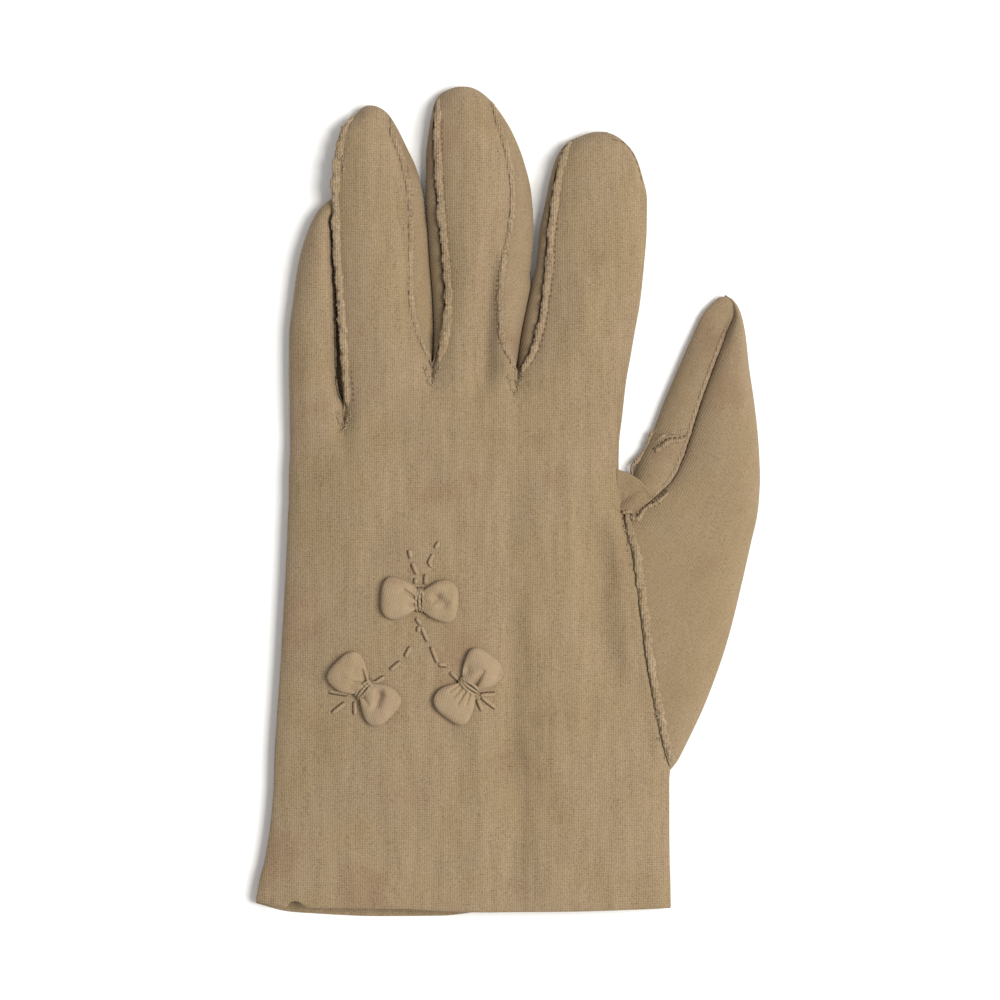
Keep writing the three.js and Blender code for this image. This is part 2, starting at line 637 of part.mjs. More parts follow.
/** The wraps of thread over the pinch between the lobes. */
function knot() {
  const steps = 8;
  return loft(
    [-0.5, -0.3, 0.3, 0.5].map((share) => {
      const height = KNOT_HEIGHT * (Math.abs(share) < 0.4 ? 1 : 0.55);
      const points = [[-KNOT_LENGTH / 2, -1], [KNOT_LENGTH / 2, -1]];
      for (let i = 0; i <= steps; i++) {
        const angle = (Math.PI * i) / steps;
        points.push([(Math.cos(angle) * KNOT_LENGTH) / 2, Math.sin(angle) ** 0.6 * height]);
      }
      return { y: share * KNOT_WIDTH, points };
    }),
  );
}

/** A piece of a bow set down on the back of the hand, turned about the knot. */
function seated(piece, bow, turn) {
  const [x, y] = [bow.across * KNUCKLE_WIDTH, bow.along * HAND_LENGTH];
  return mainBody(
    piece
      .rotate([0, 0, turn])
      .translate([x, y, heightAt(x, y) + SEAM_GAP])
      .subtract(kept),
  );
}
const QUARTER_TURN = 90;
const bowPieces = BOWS.flatMap((bow) => [
  [`bow_${bow.name}_lobe_a`, seated(lobe(), bow, bow.turn + QUARTER_TURN)],
  [`bow_${bow.name}_lobe_b`, seated(lobe(), bow, bow.turn - QUARTER_TURN)],
  [`bow_${bow.name}_knot`, seated(knot(), bow, bow.turn + QUARTER_TURN)],
]);

// The welts along the seams that show on the back.
const thumbBase = thumbSeam
  .slice(1, -1)
  .map(([x, y]) => new THREE.Vector3(x, y, heightAt(x, y) + SEAM_GAP + WELT_RADIUS));
const welts = [
  ["welt_ring_outer", ring.weltLine(-1, -0.12, 0.965)],
  ["welt_ring_inner", ring.weltLine(1, 0.06, 0.94)],
  ["welt_middle_outer", middle.weltLine(-1, 0.06, 0.965)],
  ["welt_middle_inner", middle.weltLine(1, 0.06, 0.965)],
  ["welt_index_outer", index.weltLine(-1, 0.06, 0.965)],
  ["welt_thumb_strip", thumb.weltLine(-1, 0.6, 0.96)],
  ["welt_thumb_base", thumbBase],
].map(([name, line]) => [name, mainBody(welt(line).subtract(kept))]);

// The panels' plain cloth, the softer napped cloth of the thumb's parts, forks and bows, and sewing thread.
const panelCloth = new THREE.MeshStandardMaterial({ color: 0xa8906c, roughness: 0.92, metalness: 0 });
const softCloth = new THREE.MeshStandardMaterial({ color: 0xa58b6c, roughness: 0.95, metalness: 0 });
const thread = new THREE.MeshStandardMaterial({ color: 0x9a8260, roughness: 0.8, metalness: 0 });

const pieces = [
  ["back_panel", back, panelCloth],
  ["palm_panel", palm, panelCloth],
  ["thumb", thumbMain, softCloth],
  ["thumb_strip", strip, softCloth],
  ["thumb_gusset", gusset, softCloth],
  ...forks.map(([name, solid]) => [name, solid, softCloth]),
  ...welts.map(([name, solid]) => [name, solid, softCloth]),
  ...bowPieces.map(([name, solid]) => [name, solid, name.endsWith("knot") ? thread : softCloth]),
];

const glove = new THREE.Group();
const laid = new THREE.Group();
for (const [name, solid, material] of pieces) {
  const mesh = new THREE.Mesh(geometryOf(solid), material);
  mesh.name = name;
  laid.add(mesh);
}
// The origin is the middle of the glove's outline, on the surface that the palm lies on.
const box = new THREE.Box3().setFromObject(laid);
const centre = box.getCenter(new THREE.Vector3());
laid.position.set(-centre.x, -centre.y, -box.min.z);
glove.add(laid);

export default glove;
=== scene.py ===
"""A wrist-length fabric dress glove for the left hand, lying on its palm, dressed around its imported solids.

Shapes are worked out in millimetres in the pattern's own frame: +X towards the thumb, +Y towards the fingertips,
+Z up from the surface under the palm, with the hem at Y 0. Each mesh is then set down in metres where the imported
solids lie.
"""

import json
import logging
import math
from dataclasses import dataclass, field
from enum import Enum
from typing import Callable, Iterable, Sequence

import bmesh
import bpy
import numpy as np
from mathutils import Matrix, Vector
from mathutils.bvhtree import BVHTree

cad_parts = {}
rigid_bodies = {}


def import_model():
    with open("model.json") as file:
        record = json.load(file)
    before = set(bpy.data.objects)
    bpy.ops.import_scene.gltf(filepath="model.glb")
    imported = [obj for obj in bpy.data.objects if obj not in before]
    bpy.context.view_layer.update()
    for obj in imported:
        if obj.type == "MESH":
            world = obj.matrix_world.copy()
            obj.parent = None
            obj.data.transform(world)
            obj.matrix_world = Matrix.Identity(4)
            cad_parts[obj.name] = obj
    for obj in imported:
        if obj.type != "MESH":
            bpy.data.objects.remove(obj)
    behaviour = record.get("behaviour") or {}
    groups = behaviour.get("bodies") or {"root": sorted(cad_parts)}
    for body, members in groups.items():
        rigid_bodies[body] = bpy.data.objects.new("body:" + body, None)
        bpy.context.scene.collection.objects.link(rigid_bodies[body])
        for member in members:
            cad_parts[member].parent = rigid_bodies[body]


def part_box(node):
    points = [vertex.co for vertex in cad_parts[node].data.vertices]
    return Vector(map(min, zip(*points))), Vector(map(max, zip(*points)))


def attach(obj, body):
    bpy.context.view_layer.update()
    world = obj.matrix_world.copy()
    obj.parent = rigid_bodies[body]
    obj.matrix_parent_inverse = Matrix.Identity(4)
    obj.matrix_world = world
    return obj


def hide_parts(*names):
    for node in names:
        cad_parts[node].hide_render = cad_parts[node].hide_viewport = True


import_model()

LOG = logging.getLogger("glove")
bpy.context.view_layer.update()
BODY = "root"
MM = 0.001

Array = np.ndarray


class Slot(Enum):
    """The record's material slots."""

    PANEL = "panel_cloth"
    SOFT = "soft_cloth"
    THREAD = "thread"


class Side(Enum):
    """A side of a finger, seen from above with the fingertips up."""

    LEFT = -1
    RIGHT = 1


# ---- numbers and curves


def smoothstep(share: Array | float) -> Array:
    """Eases a share from 0 to 1 with level ends."""
    held = np.clip(share, 0.0, 1.0)
    return held * held * (3.0 - 2.0 * held)


def monotone(xs: Sequence[float], ys: Sequence[float], at: Array | float) -> Array:
    """Reads a smooth curve through points that doesn't overshoot them.

    Args:
        xs: Where the points are, in rising order.
        ys: Their values.
        at: Where to read the curve; beyond the ends it stays at the end value.

    Returns:
        The curve's values.
    """
    x, y = np.asarray(xs, float), np.asarray(ys, float)
    place = np.clip(np.asarray(at, float), x[0], x[-1])
    step = np.diff(x)
    slope = np.diff(y) / step
    tangent = np.zeros_like(y)
    same = slope[:-1] * slope[1:] > 0
    weight_a, weight_b = 2 * step[1:] + step[:-1], step[1:] + 2 * step[:-1]
    inner = np.zeros(len(y) - 2)
    inner[same] = (weight_a + weight_b)[same] / (
        weight_a[same] / slope[:-1][same] + weight_b[same] / slope[1:][same]
    )
    tangent[1:-1] = inner
    tangent[0], tangent[-1] = slope[0], slope[-1]
    i = np.clip(np.searchsorted(x, place, side="right") - 1, 0, len(x) - 2)
    t = (place - x[i]) / step[i]
    return (
        y[i] * (1 + 2 * t) * (1 - t) ** 2
        + tangent[i] * step[i] * t * (1 - t) ** 2
        + y[i + 1] * t * t * (3 - 2 * t)
        + tangent[i + 1] * step[i] * t * t * (t - 1)
    )


def lattice_noise(x: Array, y: Array, size: float, seed: int) -> Array:
    """Smooth seeded noise from -1 to 1 over a plane.

    Args:
        x: Places across, in millimetres.
        y: Places along, in millimetres.
        size: The width of one lump, in millimetres.
        seed: Picks the pattern.

    Returns:
        The noise at each place.
    """
    table = np.random.default_rng(seed).uniform(-1, 1, (64, 64))
    u, v = np.asarray(x, float) / size + 1000.0, np.asarray(y, float) / size + 1000.0
    i, j = np.floor(u).astype(int), np.floor(v).astype(int)
    fu, fv = smoothstep(u - i), smoothstep(v - j)
    corner = lambda a, b: table[(i + a) % 64, (j + b) % 64]
    low = corner(0, 0) * (1 - fu) + corner(1, 0) * fu
    high = corner(0, 1) * (1 - fu) + corner(1, 1) * fu
    return low * (1 - fv) + high * fv


def smooth_max(a: Array, b: Array, blend: float) -> Array:
    """The larger of two heights, rounded over where they cross, in millimetres."""
    share = np.clip(0.5 + 0.5 * (a - b) / blend, 0, 1)
    return b * (1 - share) + a * share + blend * share * (1 - share)


def reaches(points: Array) -> Array:
    """How far along a line each of its points lies."""
    return np.concatenate([[0], np.cumsum(np.linalg.norm(np.diff(points, axis=0), axis=1))])


# ---- the forms that the cloth lies over


@dataclass(frozen=True)
class Rows:
    """Sections of a form by their place along it, as shares of its named sizes."""

    columns: tuple[str, ...]
    rows: tuple[tuple[float, ...], ...]
    round_tip: bool = False

    def at(self, column: str, along: Array | float) -> Array:
        """Reads one column at places along the form.

        Args:
            column: The column's name.
            along: Shares of the form's length.

        Returns:
            The column's values there.
        """
        table = np.array(self.rows)
        places, values = table[:, 0], table[:, self.columns.index(column)]
        if self.round_tip:
            reach = 1.004
            places = -np.sqrt(reach - places)
            along = -np.sqrt(np.maximum(reach - np.asarray(along, float), 0))
        return monotone(places, values, along)


@dataclass(frozen=True)
class Fold:
    """A soft dent or ridge in the cloth from one place to another, in millimetres; a dent's height is negative."""

    start: tuple[float, float]
    end: tuple[float, float]
    height: float
    width: float

    def lift(self, x: Array, y: Array) -> Array:
        """The height that the fold adds at each place."""
        (ax, ay), (bx, by) = self.start, self.end
        run = math.hypot(bx - ax, by - ay)
        dx, dy = (bx - ax) / run, (by - ay) / run
        along = ((x - ax) * dx + (y - ay) * dy) / run
        across = (x - ax) * dy - (y - ay) * dx
        fade = smoothstep(along / 0.3 + 0.15) * smoothstep((1 - along) / 0.3 + 0.15)
        return self.height * fade * np.exp(-((across / self.width) ** 2))


FOLDS = (
    Fold((15.6, -6.8), (13.7, 94.7), -1.5, 4.4),
    Fold((5.5, -6.8), (4.6, 67.7), 0.6, 4.4),
    Fold((41.2, 54.1), (33.9, 113.7), -2.1, 4.4),
    Fold((46.0, 58.0), (42.5, 106.0), 0.55, 2.4),
    Fold((12.0, 90.0), (17.0, 124.0), -0.9, 4.6),
    Fold((11.4, 184.0), (5.4, 133.0), -3.3, 4.1),
    Fold((16.6, 144.0), (20.5, 118.0), -0.55, 3.6),
    Fold((45.4, 208.5), (49.6, 189.0), 0.8, 1.1),
    Fold((-14.5, 178.0), (-17.0, 146.0), 0.4, 3.0),
    Fold((36.0, 176.0), (30.0, 140.0), 0.5, 4.0),
    Fold((44.0, 168.0), (36.0, 150.0), -0.5, 3.0),
    Fold((-30.0, 150.0), (-24.0, 96.0), 0.7, 6.0),
    Fold((-38.0, 20.0), (-42.0, 118.0), -0.4, 6.0),
    Fold((30.0, 6.0), (26.0, 60.0), 0.4, 5.0),
    Fold((-10.0, 2.0), (-14.0, 50.0), -0.3, 4.0),
    Fold((-48.0, 70.0), (-30.0, 84.0), -0.3, 4.0),
    Fold((12.0, 76.0), (38.0, 94.0), 0.5, 4.5),
)


@dataclass(frozen=True)
class HandForm:
    """The hand from the hem to the knuckles: a flat underside, round sides and a domed back."""

    knuckle_width: float = 91.5
    length: float = 135.3
    height: float = 10.8
    side_height: float = 4.2
    edge_round: float = 3.6
    seam_height: float = 2.9
    rows: Rows = Rows(
        ("along", "left", "right", "height", "fullness"),
        (
            (-0.06, -0.612, 0.626, 0.8, 3.6),
            (0.0, -0.6, 0.625, 0.8, 3.6),
            (0.05, -0.588, 0.624, 0.8, 3.6),
            (0.09, -0.574, 0.622, 0.82, 3.6),
            (0.17, -0.556, 0.621, 0.85, 3.5),
            (0.25, -0.547, 0.621, 0.88, 3.4),
            (0.289, -0.546, 0.627, 0.9, 3.4),
            (0.329, -0.543, 0.63, 0.92, 3.4),
            (0.409, -0.535, 0.608, 0.96, 3.4),
            (0.477, -0.528, 0.588, 0.98, 3.4),
            (0.585, -0.519, 0.568, 1.0, 3.4),
            (0.703, -0.51, 0.541, 1.0, 3.4),
            (0.772, -0.506, 0.509, 1.0, 3.4),
            (0.808, -0.503, 0.479, 0.99, 3.4),
            (0.852, -0.503, 0.471, 0.98, 3.3),
            (0.908, -0.5, 0.471, 0.95, 3.0),
            (0.945, -0.5, 0.474, 0.92, 2.7),
            (1.0, -0.5, 0.484, 0.885, 2.4),
            (1.1, -0.5, 0.485, 0.8, 2.4),
        ),
    )

    def edge(self, side: Side, y: Array) -> Array:
        """Where the outline lies across, at places along."""
        name = "left" if side is Side.LEFT else "right"
        return self.rows.at(name, y / self.length) * self.knuckle_width

    def top(self, x: Array, y: Array) -> Array:
        """The height of the back at each place, without its folds.

        Args:
            x: Places across.
            y: Places along.

        Returns:
            The heights.
        """
        along = y / self.length
        left, right = self.edge(Side.LEFT, y), self.edge(Side.RIGHT, y)
        off = np.clip(np.abs((2 * x - left - right) / (right - left)), 0, 1)
        dome = np.maximum(1 - off ** self.rows.at("fullness", along), 0) ** 0.55
        crown = self.height * self.rows.at("height", along)
        return self.side_height + (crown - self.side_height) * dome


DIGIT_COLUMNS = ("along", "left", "left_seam", "right_seam", "right", "height", "lift")


@dataclass(frozen=True)
class DigitForm:
    """A finger or the thumb: its size, its place in the hand, and its sections as shares of that size."""

    name: str
    width: float
    length: float
    height: float
    start: float
    middle: float
    rows: Rows
    seam_share: float = 0.68
    seams_reach_edge: bool = True
    right_seam_rise: float = 0.0

    @property
    def tip(self) -> float:
        """How far along the glove the tip lies."""
        return self.start + self.length

    def along(self, y: Array | float) -> Array:
        """Places along the glove as shares of the digit's length."""
        return (np.asarray(y, float) - self.start) / self.length

    def x(self, column: str, y: Array | float) -> Array:
        """Where an edge or a seam lies across, at places along the glove."""
        return self.middle + self.rows.at(column, self.along(y)) * self.width

    def top(self, y: Array | float) -> Array:
        """The height of the crown's middle at places along the glove."""
        return self.rows.at("height", self.along(y)) * self.height

    def floor(self, y: Array | float) -> Array:
        """How high the underside lies at places along the glove."""
        return self.rows.at("lift", self.along(y)) * self.height

    def tip_share(self, y: Array | float) -> Array:
        """How far the seams have run into the outline at the tip, from 0 to 1."""
        return smoothstep((self.along(y) - 0.88) / 0.105)

    def seam_x(self, side: Side, y: Array | float) -> Array:
        """Where a back seam lies across, at places along the glove.

        Args:
            side: The seam's side.
            y: Places along.

        Returns:
            The places across.
        """
        name = "left" if side is Side.LEFT else "right"
        share = self.tip_share(y) * self.seams_reach_edge
        return self.x(f"{name}_seam", y) * (1 - share) + self.x(name, y) * share

    def edge_x(self, side: Side, y: Array | float) -> Array:
        """Where the outline lies across, at places along the glove."""
        return self.x("left" if side is Side.LEFT else "right", y)

    def seam_z(self, y: Array | float) -> Array:
        """The height of the back seams at places along the glove."""
        share = self.tip_share(y)
        return self.top(y) * self.seam_share * (1 - share) + HAND.seam_height * share

    def rise(self, side: Side, y: Array | float) -> Array:
        """How much higher one seam stands near the crotch, where the cloth is pushed up.

        Args:
            side: The seam's side.
            y: Places along.

        Returns:
            The extra height there.
        """
        lift = self.right_seam_rise if side is Side.RIGHT else 0.0
        along = self.along(y)
        return lift * smoothstep((along + 0.14) / 0.12) * smoothstep((0.44 - along) / 0.24)

    def crown(self, x: Array, y: Array, spread: Array | float = 1.0) -> Array:
        """The height of the back between the seams at each place.

        Args:
            x: Places across.
            y: Places along.
            spread: How much of the fall towards the seams shows, from 0 to 1.

        Returns:
            The heights.
        """
        left, right = self.seam_x(Side.LEFT, y), self.seam_x(Side.RIGHT, y)
        off = np.clip(np.abs((2 * x - left - right) / np.maximum(right - left, 0.2)), 0, 1) * spread
        seam = self.seam_z(y) + np.where(2 * x > left + right, self.rise(Side.RIGHT, y), 0.0)
        return seam + (self.top(y) - seam) * (1 - off * off) ** 0.8


HAND = HandForm()
LITTLE = DigitForm(
    "little", 0.168 * HAND.knuckle_width, 55.1, 8.6, HAND.length, -0.416 * HAND.knuckle_width,
    Rows(DIGIT_COLUMNS, (
        (-0.176, -0.5, -0.38, 0.482, 0.675, 0.82, 0),
        (-0.059, -0.509, -0.36, 0.45, 0.605, 0.96, 0),
        (0.0, -0.509, -0.345, 0.43, 0.47, 1.0, 0),
        (0.05, -0.512, -0.335, 0.34, 0.45, 1.0, 0),
        (0.118, -0.518, -0.325, 0.3, 0.437, 1.0, 0),
        (0.314, -0.518, -0.325, 0.285, 0.412, 1.0, 0),
        (0.51, -0.447, -0.272, 0.27, 0.395, 1.0, 0),
        (0.706, -0.342, -0.184, 0.25, 0.395, 0.97, 0),
        (0.853, -0.184, -0.061, 0.24, 0.395, 0.9, 0),
        (0.941, -0.026, 0.044, 0.184, 0.377, 0.78, 0.05),
        (0.98, 0.096, 0.132, 0.219, 0.342, 0.62, 0.1),
        (1.0, 0.19, 0.207, 0.284, 0.315, 0.45, 0.15),
    ), round_tip=True),
)
RING = DigitForm(
    "ring", 0.252 * HAND.knuckle_width, 68.6, 9.8, HAND.length + 11.9, -0.206 * HAND.knuckle_width,
    Rows(DIGIT_COLUMNS, (
        (-0.315, -0.55, -0.524, 0.45, 0.6, 0.76, 0),
        (-0.22, -0.53, -0.53, 0.47, 0.6, 0.93, 0),
        (-0.173, -0.49, -0.512, 0.49, 0.594, 0.97, 0),
        (-0.047, -0.49, -0.535, 0.5, 0.582, 1.0, 0),
        (0.0, -0.49, -0.547, 0.46, 0.49, 1.0, 0),
        (0.035, -0.49, -0.555, 0.41, 0.48, 1.0, 0),
        (0.118, -0.5, -0.571, 0.31, 0.476, 1.0, 0),
        (0.276, -0.524, -0.606, 0.224, 0.471, 1.0, 0),
        (0.472, -0.559, -0.641, 0.229, 0.441, 1.0, 0),
        (0.63, -0.582, -0.653, 0.218, 0.406, 1.0, 0),
        (0.748, -0.594, -0.641, 0.159, 0.324, 0.97, 0),
        (0.846, -0.559, -0.594, 0.065, 0.194, 0.9, 0),
        (0.925, -0.488, -0.524, -0.041, 0.076, 0.78, 0.03),
        (0.976, -0.382, -0.406, -0.135, -0.029, 0.63, 0.08),
        (1.0, -0.3, -0.3, -0.182, -0.14, 0.45, 0.15),
    ), round_tip=True),
)
MIDDLE = DigitForm(
    "middle", 0.246 * HAND.knuckle_width, 73.7, 10.0, HAND.length + 11.9, 0.043 * HAND.knuckle_width,
    Rows(DIGIT_COLUMNS, (
        (-0.293, -0.575, -0.45, 0.45, 0.575, 0.76, 0),
        (-0.2, -0.587, -0.48, 0.48, 0.575, 0.93, 0),
        (-0.044, -0.587, -0.5, 0.5, 0.55, 1.0, 0),
        (0.0, -0.487, -0.46, 0.43, 0.487, 1.0, 0),
        (0.05, -0.485, -0.41, 0.35, 0.485, 1.0, 0),
        (0.11, -0.48, -0.37, 0.311, 0.49, 1.0, 0),
        (0.22, -0.492, -0.341, 0.299, 0.587, 1.0, 0),
        (0.359, -0.527, -0.371, 0.335, 0.69, 1.0, 0),
        (0.476, -0.551, -0.407, 0.407, 0.719, 1.0, 0),
        (0.604, -0.575, -0.443, 0.443, 0.695, 1.0, 0),
        (0.733, -0.575, -0.467, 0.395, 0.599, 0.95, 0),
        (0.842, -0.539, -0.479, 0.299, 0.455, 0.88, 0),
        (0.923, -0.491, -0.443, 0.192, 0.287, 0.78, 0.03),
        (0.971, -0.419, -0.383, 0.072, 0.144, 0.64, 0.08),
        (1.0, -0.25, -0.23, -0.06, -0.014, 0.45, 0.15),
    ), round_tip=True), right_seam_rise=2.6,
)
INDEX = DigitForm(
    "index", 0.334 * HAND.knuckle_width, 63.7, 9.6, HAND.length + 9.7, 0.333 * HAND.knuckle_width,
    Rows(DIGIT_COLUMNS, (
        (-0.305, -0.557, -0.45, 0.289, 0.421, 0.74, 0),
        (-0.2, -0.557, -0.48, 0.32, 0.446, 0.9, 0),
        (-0.051, -0.557, -0.5, 0.35, 0.482, 1.0, 0),
        (0.0, -0.49, -0.46, 0.359, 0.5, 1.0, 0),
        (0.05, -0.475, -0.39, 0.38, 0.52, 1.0, 0),
        (0.119, -0.455, -0.337, 0.403, 0.544, 1.0, 0),
        (0.288, -0.385, -0.267, 0.465, 0.606, 1.0, 0),
        (0.449, -0.313, -0.231, 0.5, 0.641, 1.0, 0),
        (0.585, -0.284, -0.214, 0.526, 0.663, 1.0, 0),
        (0.712, -0.231, -0.178, 0.535, 0.667, 0.97, 0),
        (0.818, -0.187, -0.143, 0.5, 0.623, 0.92, 0),
        (0.903, -0.13, -0.081, 0.43, 0.562, 0.85, 0),
        (0.958, -0.037, -0.002, 0.359, 0.474, 0.7, 0.05),
        (0.987, 0.077, 0.104, 0.306, 0.394, 0.56, 0.1),
        (1.0, 0.16, 0.174, 0.28, 0.33, 0.45, 0.15),
    ), round_tip=True),
)
THUMB = DigitForm(
    "thumb", 0.38 * HAND.knuckle_width, 125.3, 8.8, 38.6, 0.476 * HAND.knuckle_width,
    Rows(DIGIT_COLUMNS, (
        (-0.028, 0.155, 0.217, 0.326, 0.357, 0.55, 0),
        (0.0, 0.093, 0.155, 0.372, 0.442, 0.65, 0),
        (0.037, 0.016, 0.093, 0.419, 0.512, 0.76, 0),
        (0.134, -0.109, -0.016, 0.558, 0.674, 0.9, 0),
        (0.263, -0.155, -0.062, 0.713, 0.837, 1.0, 0),
        (0.392, -0.186, -0.093, 0.822, 0.953, 1.0, 0),
        (0.478, -0.186, -0.078, 0.891, 1.023, 1.0, 0),
        (0.53, -0.124, 0.124, 0.93, 1.066, 1.0, 0),
        (0.565, -0.039, 0.24, 0.946, 1.081, 1.0, 0),
        (0.612, 0.085, 0.403, 0.946, 1.089, 1.0, 0),
        (0.651, 0.147, 0.473, 0.946, 1.085, 1.0, 0),
        (0.7, 0.233, 0.535, 0.946, 1.074, 1.0, 0),
        (0.769, 0.329, 0.612, 0.93, 1.047, 1.0, 0),
        (0.853, 0.457, 0.72, 0.915, 1.004, 0.95, 0),
        (0.927, 0.574, 0.825, 0.907, 0.973, 0.85, 0),
        (0.97, 0.651, 0.885, 0.88, 0.938, 0.72, 0.04),
        (0.991, 0.721, 0.875, 0.853, 0.899, 0.6, 0.1),
        (1.0, 0.76, 0.84, 0.829, 0.86, 0.45, 0.15),
    ), round_tip=True), seams_reach_edge=False,
)
FINGERS = (LITTLE, RING, MIDDLE, INDEX)


@dataclass(frozen=True)
class Crotch:
    """Where two fingers part: where their back seams meet, and how far along they stay joined."""

    left: DigitForm
    right: DigitForm
    x: float
    y: float


CROTCHES = (
    Crotch(LITTLE, RING, -31.1, 132.1), Crotch(RING, MIDDLE, -7.34, 144.0),
    Crotch(MIDDLE, INDEX, 15.17, 141.8)
)

# The seam that sets the thumb into the hand, along and across, in hand lengths and knuckle widths.
THUMB_SEAM = (
    (0.25, 0.66),
    (0.275, 0.626),
    (0.33, 0.6),
    (0.391, 0.58),
    (0.477, 0.556),
    (0.585, 0.535),
    (0.703, 0.511),
    (0.772, 0.486),
    (0.83, 0.478),
)
# The hem line of each layer: across in knuckle widths, drop past the hem in hand lengths.
BACK_HEM = (
    (-0.62, -0.012), (-0.51, 0.0), (-0.492, -0.012), (-0.47, -0.01), (-0.45, 0.001), (-0.2, 0.003),
    (0.08, 0.01), (0.3, 0.009), (0.64, 0.003),
)
PALM_HEM = (
    (-0.62, -0.008), (-0.5, 0.013), (-0.44, 0.016), (-0.24, 0.022), (-0.05, 0.021), (0.08, 0.012),
    (0.64, 0.005)
)


def thumb_seam_x(y: Array) -> Array:
    """Where the thumb's base seam lies across, at places along."""
    along, across = zip(*THUMB_SEAM)
    return monotone(along, across, np.asarray(y, float) / HAND.length) * HAND.knuckle_width


def hem_drop(line: Sequence[tuple[float, float]], x: Array) -> Array:
    """How far a layer's hem drops past the hem line at places across, in millimetres."""
    across, drop = zip(*line)
    return monotone(across, drop, np.asarray(x, float) / HAND.knuckle_width) * HAND.length


def folds(x: Array, y: Array) -> Array:
    """The cloth's soft folds, dents and slack at each place, in millimetres.

    Args:
        x: Places across.
        y: Places along.

    Returns:
        The height that they add.
    """
    lift = sum(fold.lift(x, y) for fold in FOLDS)
    slack = 0.3 * lattice_noise(x, y * 0.6, 15.0, 3) + 0.1 * lattice_noise(x, y, 5.0, 8)
    return lift + slack


def relaxed(x: Array, y: Array) -> Array:
    """The height of the hand's back with its folds, which fade at its sides.

    Args:
        x: Places across.
        y: Places along.

    Returns:
        The heights.
    """
    left, right = HAND.edge(Side.LEFT, y), HAND.edge(Side.RIGHT, y)
    inside = np.minimum(x - left, right - x)
    thumb_top = np.where((y > THUMB.start) & (y < THUMB.tip - 1), THUMB.crown(x, y), 0)
    beside = x > THUMB.seam_x(Side.LEFT, y)
    height = HAND.top(x, y)
    height = np.where(beside & (y < 112), smooth_max(height, thumb_top, 1.6), height)
    return height + folds(x, y) * smoothstep(inside / 9.0)


@dataclass(frozen=True)
class Picture:
    """The photograph's scale: how many millimetres of the pattern one of its pixels shows."""

    mm_per_pixel: float = 0.27
    zero_x: float = 458.5
    zero_y: float = 905.0

    def place(self, px: float, py: float) -> tuple[float, float]:
        """A place in the photograph as a place in the pattern."""
        return (px - self.zero_x) * self.mm_per_pixel, (self.zero_y - py) * self.mm_per_pixel


PICTURE = Picture()


# ---- placing and building meshes


@dataclass(frozen=True)
class Placement:
    """Sets the pattern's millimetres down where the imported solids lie."""

    origin: tuple[float, float]

    @classmethod
    def from_knot(cls, node: str, along: float, across: float) -> "Placement":
        """Finds the place from a packed knot whose place in the pattern is known.

        Args:
            node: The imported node.
            along: Its place in hand lengths.
            across: Its place in knuckle widths.

        Returns:
            The placement.
        """
        low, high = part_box(node)
        middle = (low + high) / 2
        return cls((across * HAND.knuckle_width - middle.x / MM, along * HAND.length - middle.y / MM))

    def metres(self, points: Array) -> Array:
        """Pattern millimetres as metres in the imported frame.

        Args:
            points: Places in the pattern.

        Returns:
            One row of x, y and z for each.
        """
        moved = np.array(points, float).reshape(-1, 3).copy()
        moved[:, 0] -= self.origin[0]
        moved[:, 1] -= self.origin[1]
        return moved * MM


PLACEMENT = Placement.from_knot("bow_top_knot", 0.611, -0.115)


